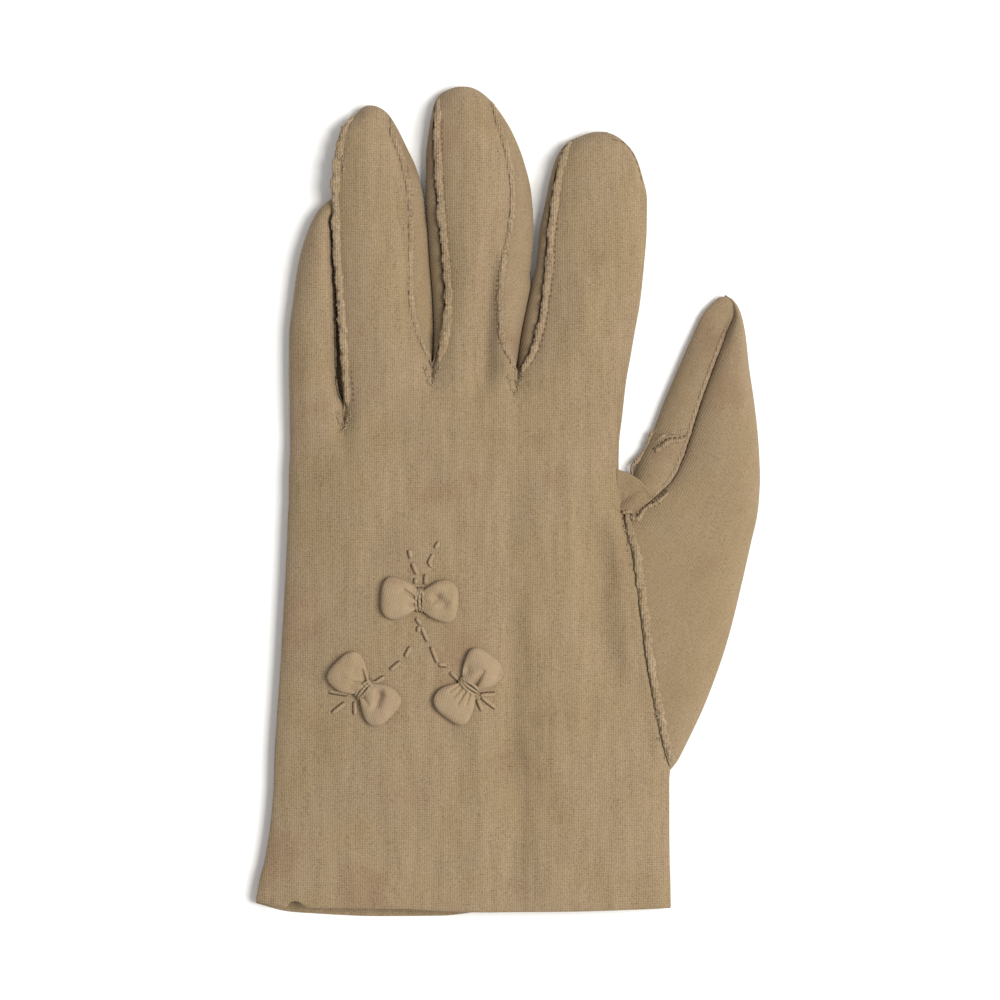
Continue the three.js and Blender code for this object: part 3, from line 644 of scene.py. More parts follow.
@dataclass
class Shell:
    """Collects points and faces of one piece, in pattern millimetres."""

    points: list[Array] = field(default_factory=list)
    faces: list[tuple[int, ...]] = field(default_factory=list)
    count: int = 0

    def add(self, points: Array, faces: Iterable[tuple[int, ...]]) -> None:
        """Adds points and the faces between them.

        Args:
            points: The places.
            faces: Each face as places in the list of these points.
        """
        flat = np.asarray(points, float).reshape(-1, 3)
        self.points.append(flat)
        self.faces.extend(tuple(i + self.count for i in face) for face in faces)
        self.count += len(flat)

    def grid(self, points: Array, around: bool = False, flip: bool = False) -> None:
        """Adds a net of four-sided faces.

        Args:
            points: Places by row and column.
            around: Whether each row closes on itself.
            flip: Whether the faces look the other way.
        """
        rows, columns = points.shape[:2]
        wide = columns if around else columns - 1
        r, c = np.meshgrid(np.arange(rows - 1), np.arange(wide), indexing="ij")
        a, b = r * columns + c, r * columns + (c + 1) % columns
        quads = np.stack([a, b, b + columns, a + columns], -1).reshape(-1, 4)
        if flip:
            quads = quads[:, ::-1]
        self.add(points, map(tuple, quads.tolist()))

    def tube(self, path: Array, radius: Array | float, sides: int = 8, taper: bool = True) -> None:
        """Adds a round cord along a path, closed at both ends.

        Args:
            path: The places that it follows.
            radius: Its radius along the path.
            sides: How many sides it has.
            taper: Whether it narrows to a point at both ends.
        """
        path = np.asarray(path, float)
        run = np.gradient(path, axis=0)
        run /= np.linalg.norm(run, axis=1, keepdims=True) + 1e-9
        up = np.array([0.0, 0.0, 1.0])
        across = np.cross(run, up)
        across /= np.linalg.norm(across, axis=1, keepdims=True) + 1e-9
        lift = np.cross(across, run)
        radii = np.broadcast_to(np.asarray(radius, float), (len(path),)).copy()
        if taper:
            share = np.linspace(0, 1, len(path))
            radii *= np.sqrt(np.clip(1 - (2 * share - 1) ** 4, 0.02, 1))
        angle = np.linspace(0, 2 * np.pi, sides, endpoint=False)
        ring = np.cos(angle)[None, :, None] * across[:, None] + np.sin(angle)[None, :, None] * lift[:, None]
        self.grid(path[:, None] + ring * radii[:, None, None], around=True)
        self.close_ends(len(path), sides)

    def close_ends(self, rows: int, columns: int, flip: bool = False) -> None:
        """Closes both ends of the net that was added last, whose rows run round on themselves.

        Args:
            rows: The net's rows.
            columns: The net's columns.
            flip: Whether the faces look the other way.
        """
        first = tuple(range(self.count - rows * columns, self.count - (rows - 1) * columns))
        last = tuple(range(self.count - columns, self.count))
        self.faces += [first, last[::-1]] if flip else [first[::-1], last]

    def piece(self, name: str, weld: float = 0.0) -> bpy.types.Object:
        """Makes the piece's object.

        Args:
            name: The piece's name.
            weld: Points closer than this are joined, in millimetres.

        Returns:
            The new object, with smooth shading.
        """
        mesh = bpy.data.meshes.new(name)
        mesh.from_pydata(PLACEMENT.metres(np.concatenate(self.points)).tolist(), [], self.faces)
        if weld:
            work = bmesh.new()
            work.from_mesh(mesh)
            bmesh.ops.remove_doubles(work, verts=work.verts, dist=weld * MM)
            work.to_mesh(mesh)
            work.free()
        mesh.validate()
        mesh.polygons.foreach_set("use_smooth", np.ones(len(mesh.polygons), bool))
        made = bpy.data.objects.new(name, mesh)
        bpy.context.scene.collection.objects.link(made)
        return made


def thicken(piece: bpy.types.Object, cloth: float, inwards: bool = True) -> bpy.types.Object:
    """Gives a sheet the thickness of its cloth.

    Args:
        piece: The sheet.
        cloth: Its thickness in millimetres.
        inwards: Whether the cloth lies behind the sheet's faces.

    Returns:
        The piece.
    """
    wall = piece.modifiers.new("cloth", "SOLIDIFY")
    wall.thickness = cloth * MM
    wall.offset = -1.0 if inwards else 1.0
    wall.use_even_offset = False
    return piece


def dress(
    piece: bpy.types.Object, finish: bpy.types.Material, nodes: Sequence[str] = ()
) -> bpy.types.Object:
    """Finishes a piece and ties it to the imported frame.

    Args:
        piece: The piece.
        finish: Its material.
        nodes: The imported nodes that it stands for.

    Returns:
        The piece.
    """
    piece.data.materials.clear()
    piece.data.materials.append(finish)
    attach(piece, BODY)
    if nodes:
        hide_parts(*nodes)
    LOG.info("%s: %d faces", piece.name, len(piece.data.polygons))
    return piece


# ---- finishes


def linear(code: str) -> tuple[float, float, float, float]:
    """An sRGB hex colour as linear red, green, blue and alpha."""
    parts = [int(code.lstrip("#")[i:i + 2], 16) / 255 for i in (0, 2, 4)]
    return (*(p / 12.92 if p <= 0.04045 else ((p + 0.055) / 1.055) ** 2.4 for p in parts), 1.0)


def add_node(
    tree: bpy.types.NodeTree,
    kind: str,
    settings: dict[str, object] | None = None,
    values: dict[str | int, object] | None = None,
    links: dict[str | int, bpy.types.NodeSocket] | None = None,
) -> bpy.types.Node:
    """Adds a shader node with its settings, values and links.

    Args:
        tree: The material's node tree.
        kind: The node's type.
        settings: Its properties.
        values: Values for its unlinked inputs, by name or place.
        links: Outputs that feed its inputs, by name or place.

    Returns:
        The node.
    """
    node = tree.nodes.new(kind)
    for name, value in (settings or {}).items():
        setattr(node, name, value)
    for name, value in (values or {}).items():
        node.inputs[name].default_value = value
    for name, source in (links or {}).items():
        tree.links.new(source, node.inputs[name])
    return node


def ramp(
    tree: bpy.types.NodeTree, source: bpy.types.NodeSocket, stops: Sequence[tuple[float, str]]
) -> bpy.types.NodeSocket:
    """Turns a number from 0 to 1 into a colour by hex stops.

    Args:
        tree: The material's node tree.
        source: The number.
        stops: Places and their hex colours.

    Returns:
        The colour's socket.
    """
    node = add_node(tree, "ShaderNodeValToRGB", links={"Fac": source})
    node.color_ramp.interpolation = "EASE"
    elements = node.color_ramp.elements
    while len(elements) < len(stops):
        elements.new(0.5)
    for element, (place, code) in zip(elements, stops):
        element.position = place
        element.color = linear(code)
    return node.outputs["Color"]


@dataclass(frozen=True)
class ClothFinish:
    """Fine cotton or rayon glove cloth, woven plain or knitted with a brushed nap.

    The eye sees a matt tan with a soft bloom at grazing angles, a fine grid of yarns, and slow pinker and yellower
    patches from wear and age.
    """

    name: str
    shade: str = "#705F48"
    body: str = "#917D63"
    light: str = "#A48F73"
    # The yarns lie about 0.4 mm apart, which is finer than the picture can show, so they are drawn coarser.
    yarn_pitch_mm: float = 0.62
    rib_share: float = 0.6
    yarn_contrast: float = 0.4
    nap_grain_mm: float = 0.5
    nap_contrast: float = 0.8
    slub_contrast: float = 0.12
    relief_mm: float = 0.09
    turn_degrees: float = 0.0
    patch_mm: float = 21.0
    sheen: float = 0.08

    def material(self) -> bpy.types.Material:
        """Builds the material.

        Returns:
            The new material.
        """
        made = bpy.data.materials.new(self.name)
        made.use_nodes = True
        tree = made.node_tree
        shader = tree.nodes["Principled BSDF"]
        place = add_node(tree, "ShaderNodeTexCoord").outputs["Object"]
        wander = add_node(
            tree, "ShaderNodeTexNoise", values={"Scale": 1 / (9 * MM), "Detail": 2.0}, links={"Vector": place}
        )
        bent = add_node(
            tree, "ShaderNodeVectorMath", {"operation": "MULTIPLY_ADD"},
            values={1: (0.9 * MM,) * 3}, links={0: wander.outputs["Color"], 2: place},
        )
        turned = add_node(
            tree, "ShaderNodeMapping",
            values={"Rotation": (0, 0, math.radians(self.turn_degrees))},
            links={"Vector": bent.outputs["Vector"]},
        ).outputs["Vector"]
        wave_scale = math.tau / 20 / (self.yarn_pitch_mm * MM)
        ribs, picks = (
            add_node(
                tree, "ShaderNodeTexWave", {"bands_direction": direction, "wave_profile": "SIN"},
                values={"Scale": wave_scale, "Distortion": 1.3, "Detail": 2.0, "Detail Scale": 0.35},
                links={"Vector": turned},
            ).outputs["Fac"]
            for direction in ("X", "Y")
        )
        grid = add_node(
            tree, "ShaderNodeMix", {"data_type": "FLOAT"}, values={0: 1 - self.rib_share},
            links={2: ribs, 3: picks}
        )
        grain = add_node(
            tree, "ShaderNodeTexNoise",
            values={"Scale": 1 / (self.nap_grain_mm * MM), "Detail": 3.0, "Roughness": 0.65},
            links={"Vector": place},
        )
        yarn = add_node(
            tree, "ShaderNodeMapRange",
            values={3: 0.5 - self.yarn_contrast / 2, 4: 0.5 + self.yarn_contrast / 2},
            links={0: grid.outputs[0]},
        )
        nap = add_node(
            tree, "ShaderNodeMapRange",
            values={1: 0.25, 2: 0.75, 3: -self.nap_contrast / 2, 4: self.nap_contrast / 2},
            links={0: grain.outputs["Fac"]},
        )
        streaks = add_node(
            tree, "ShaderNodeMapping", values={"Scale": (1.0, 0.12, 1.0)}, links={"Vector": turned}
        )
        slub = add_node(
            tree, "ShaderNodeTexNoise", values={"Scale": 1 / (2.2 * MM), "Detail": 3.0},
            links={"Vector": streaks.outputs["Vector"]},
        )
        slubs = add_node(
            tree, "ShaderNodeMapRange",
            values={1: 0.3, 2: 0.7, 3: -self.slub_contrast, 4: self.slub_contrast},
            links={0: slub.outputs["Fac"]}
        )
        tone = add_node(
            tree, "ShaderNodeMath", {"operation": "ADD"}, links={0: yarn.outputs[0], 1: nap.outputs[0]}
        )
        tone = add_node(
            tree, "ShaderNodeMath", {"operation": "ADD"}, links={0: tone.outputs[0], 1: slubs.outputs[0]}
        )
        base = ramp(tree, tone.outputs[0], ((0.0, self.shade), (0.5, self.body), (1.0, self.light)))
        patches = add_node(
            tree, "ShaderNodeTexNoise",
            values={"Scale": 1 / (self.patch_mm * MM), "Detail": 3.0, "Roughness": 0.55},
            links={"Vector": place},
        )
        tint = ramp(
            tree, patches.outputs["Fac"],
            ((0.3, "#F6EFED"), (0.46, "#FFFFFF"), (0.6, "#FCFCF5"), (0.76, "#F3EFEA"))
        )
        colour = add_node(
            tree, "ShaderNodeMix", {"data_type": "RGBA", "blend_type": "MULTIPLY"}, values={0: 1.0},
            links={6: base, 7: tint},
        )
        relief = add_node(
            tree, "ShaderNodeMath", {"operation": "MULTIPLY_ADD"}, values={1: 0.7},
            links={0: nap.outputs[0], 2: grid.outputs[0]}
        )
        bump = add_node(
            tree, "ShaderNodeBump", values={"Strength": 0.8, "Distance": self.relief_mm * MM},
            links={"Height": relief.outputs[0]},
        )
        tree.links.new(colour.outputs[2], shader.inputs["Base Color"])
        tree.links.new(bump.outputs["Normal"], shader.inputs["Normal"])
        shader.inputs["Roughness"].default_value = 0.94
        shader.inputs["Specular IOR Level"].default_value = 0.18
        shader.inputs["Sheen Weight"].default_value = self.sheen
        shader.inputs["Sheen Roughness"].default_value = 0.55
        return made


@dataclass(frozen=True)
class ThreadFinish:
    """Mercerised cotton sewing thread, spun and twisted.

    The eye sees a slightly glossier line than the cloth, with a fine slanting twist.
    """

    name: str
    shade: str = "#6E573B"
    body: str = "#9D8463"
    twist_mm: float = 0.7

    def material(self) -> bpy.types.Material:
        """Builds the material.

        Returns:
            The new material.
        """
        made = bpy.data.materials.new(self.name)
        made.use_nodes = True
        tree = made.node_tree
        shader = tree.nodes["Principled BSDF"]
        place = add_node(tree, "ShaderNodeTexCoord").outputs["Object"]
        twist = add_node(
            tree, "ShaderNodeTexWave", {"bands_direction": "DIAGONAL"},
            values={"Scale": math.tau / 20 / (self.twist_mm * MM), "Distortion": 1.5, "Detail": 1.0},
            links={"Vector": place},
        )
        colour = ramp(tree, twist.outputs["Fac"], ((0.0, self.shade), (0.6, self.body)))
        bump = add_node(
            tree, "ShaderNodeBump", values={"Strength": 0.6, "Distance": 0.08 * MM},
            links={"Height": twist.outputs["Fac"]}
        )
        tree.links.new(colour, shader.inputs["Base Color"])
        tree.links.new(bump.outputs["Normal"], shader.inputs["Normal"])
        shader.inputs["Roughness"].default_value = 0.7
        shader.inputs["Specular IOR Level"].default_value = 0.3
        return made


@dataclass(frozen=True)
class PaperFinish:
    """Matt white background paper, which gives the eye an even white with no grain."""

    name: str = "matt_white_paper"
    white: str = "#FBFBFB"

    def material(self) -> bpy.types.Material:
        """Builds the material.

        Returns:
            The new material.
        """
        made = bpy.data.materials.new(self.name)
        made.use_nodes = True
        shader = made.node_tree.nodes["Principled BSDF"]
        shader.inputs["Base Color"].default_value = linear(self.white)
        shader.inputs["Roughness"].default_value = 1.0
        shader.inputs["Specular IOR Level"].default_value = 0.0
        return made


@dataclass
class Finishes:
    """The glove's materials, made once and shared by its pieces."""

    panel: bpy.types.Material
    soft: bpy.types.Material
    lobe: bpy.types.Material
    welt: bpy.types.Material
    thread: bpy.types.Material
    mid_thread: bpy.types.Material
    dark_thread: bpy.types.Material

    @classmethod
    def make(cls) -> "Finishes":
        """Makes the materials.

        Returns:
            The set of them.
        """
        return cls(
            panel=ClothFinish("plain_woven_cotton").material(),
            soft=ClothFinish(
                "brushed_knitted_cotton", yarn_contrast=0.08, nap_contrast=0.75, slub_contrast=0.05,
                relief_mm=0.12, turn_degrees=28.0,
            ).material(),
            lobe=ClothFinish(
                "padded_knitted_cotton", shade="#7A6750", body="#9C876D", light="#AF9A7E", yarn_contrast=0.1,
                nap_contrast=0.5, relief_mm=0.1, turn_degrees=15.0, patch_mm=12.0,
            ).material(),
            # The welt cloth's lighter colours are partly the frayed cloth's own tone and partly painted highlight of
            # the raised ridges; the fibres and rolls share this finish.
            welt=ClothFinish(
                "frayed_seam_edge_painted_highlight", shade="#6F5C45", body="#9A856A", light="#B8A388", yarn_contrast=0.06,
                nap_contrast=0.9, nap_grain_mm=0.6, relief_mm=0.25, sheen=0.15,
            ).material(),
            thread=ThreadFinish("cotton_thread", shade="#7C6A52", body="#9A876C").material(),
            # The two stitch threads are darker than thread alone: their colour is partly the thread's own and partly
            # painted shade of the grooves they lie in and of the stem tucks' shaded left sides.
            mid_thread=ThreadFinish("stitch_thread_painted_shade", shade="#5F4C35", body="#7A6447").material(),
            dark_thread=ThreadFinish("groove_stitch_thread_painted_shade", shade="#463523", body="#614D37").material(),
        )


# ---- the panels

ROW_STEP = 0.8
PALM_ROW_STEP = ROW_STEP * 1.6
# The visible cloth's thickness: the panels and the thumb, the forks, the thumb's patches and its web.
CLOTH_MM = 0.55
FORK_CLOTH_MM = 0.4
PATCH_CLOTH_MM = 0.45
WEB_CLOTH_MM = 0.35
# Points closer than this are joined where strips meet.
WELD_MM = 0.004
HEM_MM = 8.0
# How far up from the cuff its slanting hem line still bends the cloth.
HEM_FADE_MM = 14
FINGERTIP_REACH_MM = 0.35
FINGER_EDGE_ROUND = 1.9


def finger_rows(digit: DigitForm, from_y: float) -> Array:
    """Places along a finger, evenly spaced, then closer and closer to its tip.

    Args:
        digit: The finger or the thumb.
        from_y: Where they start.

    Returns:
        The places.
    """
    steady = np.arange(from_y, digit.tip - 8.0, ROW_STEP)
    count = 22
    share = np.linspace(0, 1, count + 1)[1:]
    last = steady[-1] + (digit.tip - steady[-1]) * np.sin(share * np.pi / 2)
    return np.concatenate([steady, last])


def turned_hem(net: Array, depth: float, row_step: float, fold: float) -> Array:
    """Folds a panel's cuff edge inside and runs it back as the hem.

    Args:
        net: The panel's places by row and column, the first row at the cuff's edge.
        depth: How deep the hem is, in millimetres.
        row_step: How far apart the net's rows lie.
        fold: How far the hem lies above the cloth; below it when negative.

    Returns:
        The net with the hem's rows before it.
    """
    middle = 0.6
    # Places along from the hem's inner edge to the turn, and how much of the fold each has.
    turn = (
        (depth, 1.0), (depth * 0.7, 1.0), (depth * 0.4, 1.0), (1.6, 1.0),
        (0.4, 0.95), (-0.15, 0.72), (-0.3, 0.42), (-0.18, 0.14),
    )
    rows = []
    for along, share in turn:
        row = net[max(0, round(along / row_step))].copy()
        level = (row[:, 2] - HAND.seam_height) if fold < 0 else (HAND.seam_height - row[:, 2])
        clear = np.clip(level / 2.4, 0, 1)
        row[:, 0] += np.sign(middle - row[:, 0]) * (1 - clear) * 1.2 * share
        if along < row_step:
            row[:, 1] = net[0, :, 1] + along
        row[:, 2] += fold * share * clear
        rows.append(row)
    return np.concatenate([np.array(rows), net])


def closed_tip(net: Array, reach: float, across: float, level: float) -> Array:
    """Closes a net round its last row with a few shrinking rows.

    Args:
        net: Places by row and column.
        reach: How far the tip reaches past the last row, in millimetres.
        across: Where it closes across.
        level: The height that it closes at.

    Returns:
        The net with the tip's rows.
    """
    last = net[-1]
    centre = np.array([across, 0.0, level])
    rows = []
    for angle in np.radians((30.0, 55.0, 75.0, 88.0)):
        row = centre + (last - centre) * math.cos(angle)
        row[:, 1] = last[:, 1] + reach * math.sin(angle)
        rows.append(row)
    return np.concatenate([net, np.array(rows)])


def to_hem_line(net: Array, line: Sequence[tuple[float, float]]) -> None:
    """Lowers a net's cuff edge to its layer's hem line, by changing the net in place."""
    net[..., 1] -= hem_drop(line, net[..., 0]) * (1 - smoothstep(net[..., 1] / HEM_FADE_MM))


@dataclass
class BackPanel:
    """The back of the hand with the backs of the four fingers, one piece of cloth, with the cuff's upper hem."""

    cut_mm: tuple[float, float] = (131.0, 227.0)
    split_y: float = 130.0
    thumb_seam_from: float = 36.0
    thumb_seam_to: float = 110.0

    def strip_edges(self, digit: DigitForm, y: Array) -> tuple[Array, Array]:
        """The two inner borders of a finger's strip of the back.

        Args:
            digit: The finger.
            y: Places along.

        Returns:
            Where the left and the right border lie across; an outer side gives the outline.
        """
        left, right = HAND.edge(Side.LEFT, y), self.right_border(y)
        for crotch in CROTCHES:
            if crotch.left is digit:
                right = np.where(y < crotch.y, crotch.x, digit.seam_x(Side.RIGHT, y))
            if crotch.right is digit:
                left = np.where(y < crotch.y, crotch.x, digit.seam_x(Side.LEFT, y))
        return left, right

    def right_border(self, y: Array) -> Array:
        """The hand's border on the thumb's side: its outline, and the thumb's base seam where that lies inside.

        Args:
            y: Places along.

        Returns:
            Where the border lies across.
        """
        edge = HAND.edge(Side.RIGHT, y)
        seam = thumb_seam_x(y)
        held = (y > self.thumb_seam_from) & (y < self.thumb_seam_to)
        return np.where(held, np.minimum(edge, seam), edge)

    def finger_share(self, digit: DigitForm, across: Array, y: Array) -> Array:
        """How far the hand's surface has turned into the finger's, from 0 to 1.

        Args:
            digit: The finger.
            across: Shares across the finger's strip.
            y: Places along.

        Returns:
            The share at each place.
        """
        knuckle = {c.left.name: c.y for c in CROTCHES}
        starts = {c.right.name: c.y for c in CROTCHES}
        right = knuckle.get(digit.name, starts.get(digit.name, 0.0))
        left = starts.get(digit.name, knuckle.get(digit.name, 0.0))
        meeting = left + (right - left) * across
        run = 15.0
        return smoothstep((y - meeting + run) / run)

    def inner_strip(self, digit: DigitForm, rows: Array, columns: int) -> Array:
        """The net of a finger's strip with a seam on both sides."""
        even = np.linspace(0, 1, columns)[None, :]
        share = 0.6 * even + 0.4 * (0.5 - 0.5 * np.cos(np.pi * even))
        y = np.repeat(rows[:, None], columns, 1)
        left, right = self.strip_edges(digit, rows)
        x = left[:, None] + (right - left)[:, None] * share
        turned = self.finger_share(digit, share, y)
        finger = digit.crown(x, y, 0.3 + 0.7 * turned ** 2) + folds(x, y) * (1 - np.abs(2 * share - 1) ** 3)
        z = relaxed(x, y) * (1 - turned) + finger * turned
        return np.stack([x, y, z], -1)

    def outer_strip(
        self, digit: DigitForm, side: Side, rows: Array, inner_columns: int, outer_columns: int
    ) -> Array:
        """The net of a finger's strip with a seam on one side and the hand's fold on the other.

        Args:
            digit: The finger.
            side: The side of the fold.
            rows: Places along.
            inner_columns: Columns from the seam to the crown's middle.
            outer_columns: Columns from there round the fold.

        Returns:
            Places by row and column, from left to right.
        """
        sign = side.value
        left, right = self.strip_edges(digit, rows)
        inner = right if side is Side.LEFT else left
        hand_edge = left if side is Side.LEFT else right
        finger_edge = digit.edge_x(side, rows)
        middle_finger = (digit.seam_x(Side.LEFT, rows) + digit.seam_x(Side.RIGHT, rows)) / 2
        middle_hand = np.full_like(rows, middle_finger[np.searchsorted(rows, self.split_y)])
        turned = smoothstep((rows - self.split_y + 12) / 16)
        middle = middle_hand * (1 - turned) + middle_finger * turned
        edge = hand_edge * (1 - turned) + finger_edge * turned
        inward = np.linspace(0, 1, inner_columns)[None, :] ** 1.3
        angle = np.linspace(0, np.pi / 2, outer_columns)[None, 1:]
        x_in = inner[:, None] + (middle - inner)[:, None] * inward
        x_out = middle[:, None] + (edge - middle)[:, None] * np.sin(angle)
        x = np.concatenate([x_in, x_out], 1)
        y = np.repeat(rows[:, None], x.shape[1], 1)
        hand = relaxed(x, y)
        seam_drop = np.clip(np.abs(hand_edge[:, None] - x) / 1.6, 0, 1)
        sewn = (self.right_border(y) < HAND.edge(Side.RIGHT, y) - 0.05) & (side is Side.RIGHT)
        hand = np.where(sewn, hand - 1.2 * (1 - np.sqrt(1 - (1 - seam_drop) ** 2)), hand)
        seam = digit.seam_z(rows)[:, None]
        top = digit.top(rows)[:, None]
        share = self.finger_share(digit, np.array([[1.0 if side is Side.LEFT else 0.0]]), y)
        off_in = (1 - inward) * (0.3 + 0.7 * share[:, :inner_columns] ** 2)
        crown_in = seam + (top - seam) * (1 - off_in ** 2) ** 0.8
        crown_out = HAND.seam_height + (top - HAND.seam_height) * np.cos(angle) ** 0.9
        finger = np.concatenate([crown_in, crown_out + 0 * x_out], 1)
        shelter = np.concatenate([inward + 0 * x_in, np.cos(angle) + 0 * x_out], 1)
        finger = finger + folds(x, y) * shelter
        z = hand * (1 - share) + finger * share
        low = np.stack([edge - sign * 0.12, rows, np.full_like(rows, HAND.seam_height)], -1)
        net = np.concatenate([np.stack([x, y, z], -1), low[:, None]], 1)
        return net[:, ::-1] if side is Side.LEFT else net

    def build(self) -> bpy.types.Object:
        """Builds the panel's mesh.

        Returns:
            The piece.
        """
        shared = np.arange(0.0, self.split_y, ROW_STEP)
        shell = Shell()
        nets = []
        for digit in FINGERS:
            rows = np.concatenate([shared, finger_rows(digit, self.split_y)])
            if digit is LITTLE:
                net = self.outer_strip(digit, Side.LEFT, rows, 16, 24)
            elif digit is INDEX:
                net = self.outer_strip(digit, Side.RIGHT, rows, 26, 36)
            else:
                net = self.inner_strip(digit, rows, 40)
            nets.append(net)
        self.join_borders(nets)
        for digit, net in zip(FINGERS, nets):
            to_hem_line(net, BACK_HEM)
            roll_edges(net, digit)
            shell.grid(self.hemmed(closed_tip(net, FINGERTIP_REACH_MM, net[-1].mean(0)[0], HAND.seam_height)))
        piece = shell.piece("back_cloth", weld=WELD_MM)
        return thicken(piece, CLOTH_MM)

    def join_borders(self, nets: list[Array]) -> None:
        """Gives neighbouring strips the same height along the border that they share below their crotch.

        Args:
            nets: The strips' nets from left to right, changed in place.
        """
        for crotch, left, right in zip(CROTCHES, nets, nets[1:]):
            count = min(len(left), len(right))
            below = left[:count, -1, 1] < crotch.y
            level = np.abs(left[:count, -1, 1] - right[:count, 0, 1]) < 1e-6
            rows = np.flatnonzero(below & level)
            middle = (left[rows, -1] + right[rows, 0]) / 2
            for net, columns in ((left, range(-1, -7, -1)), (right, range(0, 6))):
                border = columns[0]
                shift = middle - net[rows, border]
                for step, column in enumerate(columns):
                    net[rows, column, 2] += shift[:, 2] * (1 - step / 6)
            left[rows, -1], right[rows, 0] = middle, middle

    def hemmed(self, net: Array) -> Array:
        """Turns the cuff's edge under and runs it back inside as the hem."""
        return turned_hem(net, HEM_MM, ROW_STEP, -1.2)

    def dress(self, finishes: Finishes) -> bpy.types.Object:
        """Args:
            finishes: The glove's materials.

        Returns:
            The piece.
        """
        piece = dress(self.build(), finishes.panel, ["back_panel"])
        return piece


def roll_edges(net: Array, digit: DigitForm) -> None:
    """Rolls a strip's seam edges down into their grooves, beyond the crotch, by changing the net in place.

    Args:
        net: The strip's places by row and column.
        digit: Its finger.
    """
    for crotch in CROTCHES:
        for side, owner in ((Side.RIGHT, crotch.left), (Side.LEFT, crotch.right)):
            if owner is not digit:
                continue
            border = net[:, -1] if side is Side.RIGHT else net[:, 0]
            apart = smoothstep((border[:, 1] - crotch.y + 2.0) / 4.0)
            apart = apart * (1 - digit.tip_share(border[:, 1]) * 0.8)
            distance = np.abs(net[..., 0] - border[:, None, 0])
            depth = 0.75 if side is Side.LEFT else 0.35
            net[..., 2] -= depth * apart[:, None] * np.exp(-((distance / 0.45) ** 2))


@dataclass
class PalmPanel:
    """The palm with the fingers' fronts, one piece of cloth, with the cuff's lower hem."""

    cut_mm: tuple[float, float] = (131.0, 228.0)
    rim_z: float = 2.75
    split_y: float = 130.0
    thumb_from: float = 36.0
    thumb_to: float = 109.0

    def rim(self, depth: Array, radius: Array | float, height: Array | float) -> Array:
        """How high the round rim rises at a depth in from the outline."""
        share = np.clip(1 - depth / radius, 0, 1)
        return height * (1 - np.sqrt(np.clip(1 - share * share, 0, 1)))

    def net(self, digit: DigitForm, rows: Array, columns: int) -> Array:
        """The net of a finger's strip of the palm.

        Args:
            digit: The finger.
            rows: Places along.
            columns: How many columns it has.

        Returns:
            Places by row and column.
        """
        hand_left, hand_right = HAND.edge(Side.LEFT, rows), BackPanel().right_border(rows)
        turned = smoothstep((rows - self.split_y + 12) / 16)
        left = hand_left * (1 - turned) + digit.edge_x(Side.LEFT, rows) * turned
        right = hand_right * (1 - turned) + digit.edge_x(Side.RIGHT, rows) * turned
        left_rim, right_rim = np.ones_like(rows), np.ones_like(rows)
        for crotch in CROTCHES:
            joint = max(crotch.left.start, crotch.right.start) if crotch.left is not LITTLE else crotch.left.start
            apart = smoothstep((rows - joint) / 2.5)
            if crotch.left is digit:
                right = np.where(rows < joint, crotch.x, digit.edge_x(Side.RIGHT, rows))
                right_rim = apart
            if crotch.right is digit:
                left = np.where(rows < joint, crotch.x, digit.edge_x(Side.LEFT, rows))
                left_rim = apart
        share = 0.5 - 0.5 * np.cos(np.linspace(0, np.pi, columns))[None, :]
        share = share * 0.6 + np.linspace(0, 1, columns)[None, :] * 0.4
        x = left[:, None] + (right - left)[:, None] * share
        y = np.repeat(rows[:, None], columns, 1)
        floor = digit.floor(y) * smoothstep((y - digit.start) / 5)
        outer_left = HAND.edge_round if digit is LITTLE else FINGER_EDGE_ROUND
        outer_right = HAND.edge_round if digit is INDEX else FINGER_EDGE_ROUND
        radius_left = outer_left * (1 - turned) + FINGER_EDGE_ROUND * turned
        radius_right = outer_right * (1 - turned) + FINGER_EDGE_ROUND * turned
        rise = self.rim_z - floor
        if digit is INDEX:
            beside = smoothstep((rows - self.thumb_from) / 3.0) * smoothstep((self.thumb_to - rows) / 3.0)
            right_rim = right_rim * (1 - 0.85 * beside)
        up_left = self.rim(x - left[:, None], radius_left[:, None], rise) * left_rim[:, None]
        up_right = self.rim(right[:, None] - x, radius_right[:, None], rise) * right_rim[:, None]
        return np.stack([x, y, floor + np.maximum(up_left, up_right)], -1)

    def hemmed(self, net: Array) -> Array:
        """Turns the cuff's edge up and runs it back inside as the hem."""
        return turned_hem(net, HEM_MM, PALM_ROW_STEP, 0.9)

    def build(self) -> bpy.types.Object:
        """Builds the panel's mesh.

        Returns:
            The piece.
        """
        shared = np.arange(0.0, self.split_y, PALM_ROW_STEP)
        shell = Shell()
        for digit, columns in zip(FINGERS, (22, 22, 22, 30)):
            rows = np.concatenate([shared, finger_rows(digit, self.split_y)])
            net = self.net(digit, rows, columns)
            to_hem_line(net, PALM_HEM)
            net = closed_tip(net, FINGERTIP_REACH_MM, net[-1].mean(0)[0], self.rim_z)
            shell.grid(self.hemmed(net), flip=True)
        piece = shell.piece("palm_cloth", weld=WELD_MM)
        return thicken(piece, CLOTH_MM)

    def dress(self, finishes: Finishes) -> bpy.types.Object:
        """Args:
            finishes: The glove's materials.

        Returns:
            The piece.
        """
        piece = dress(self.build(), finishes.panel, ["palm_panel"])
        return piece


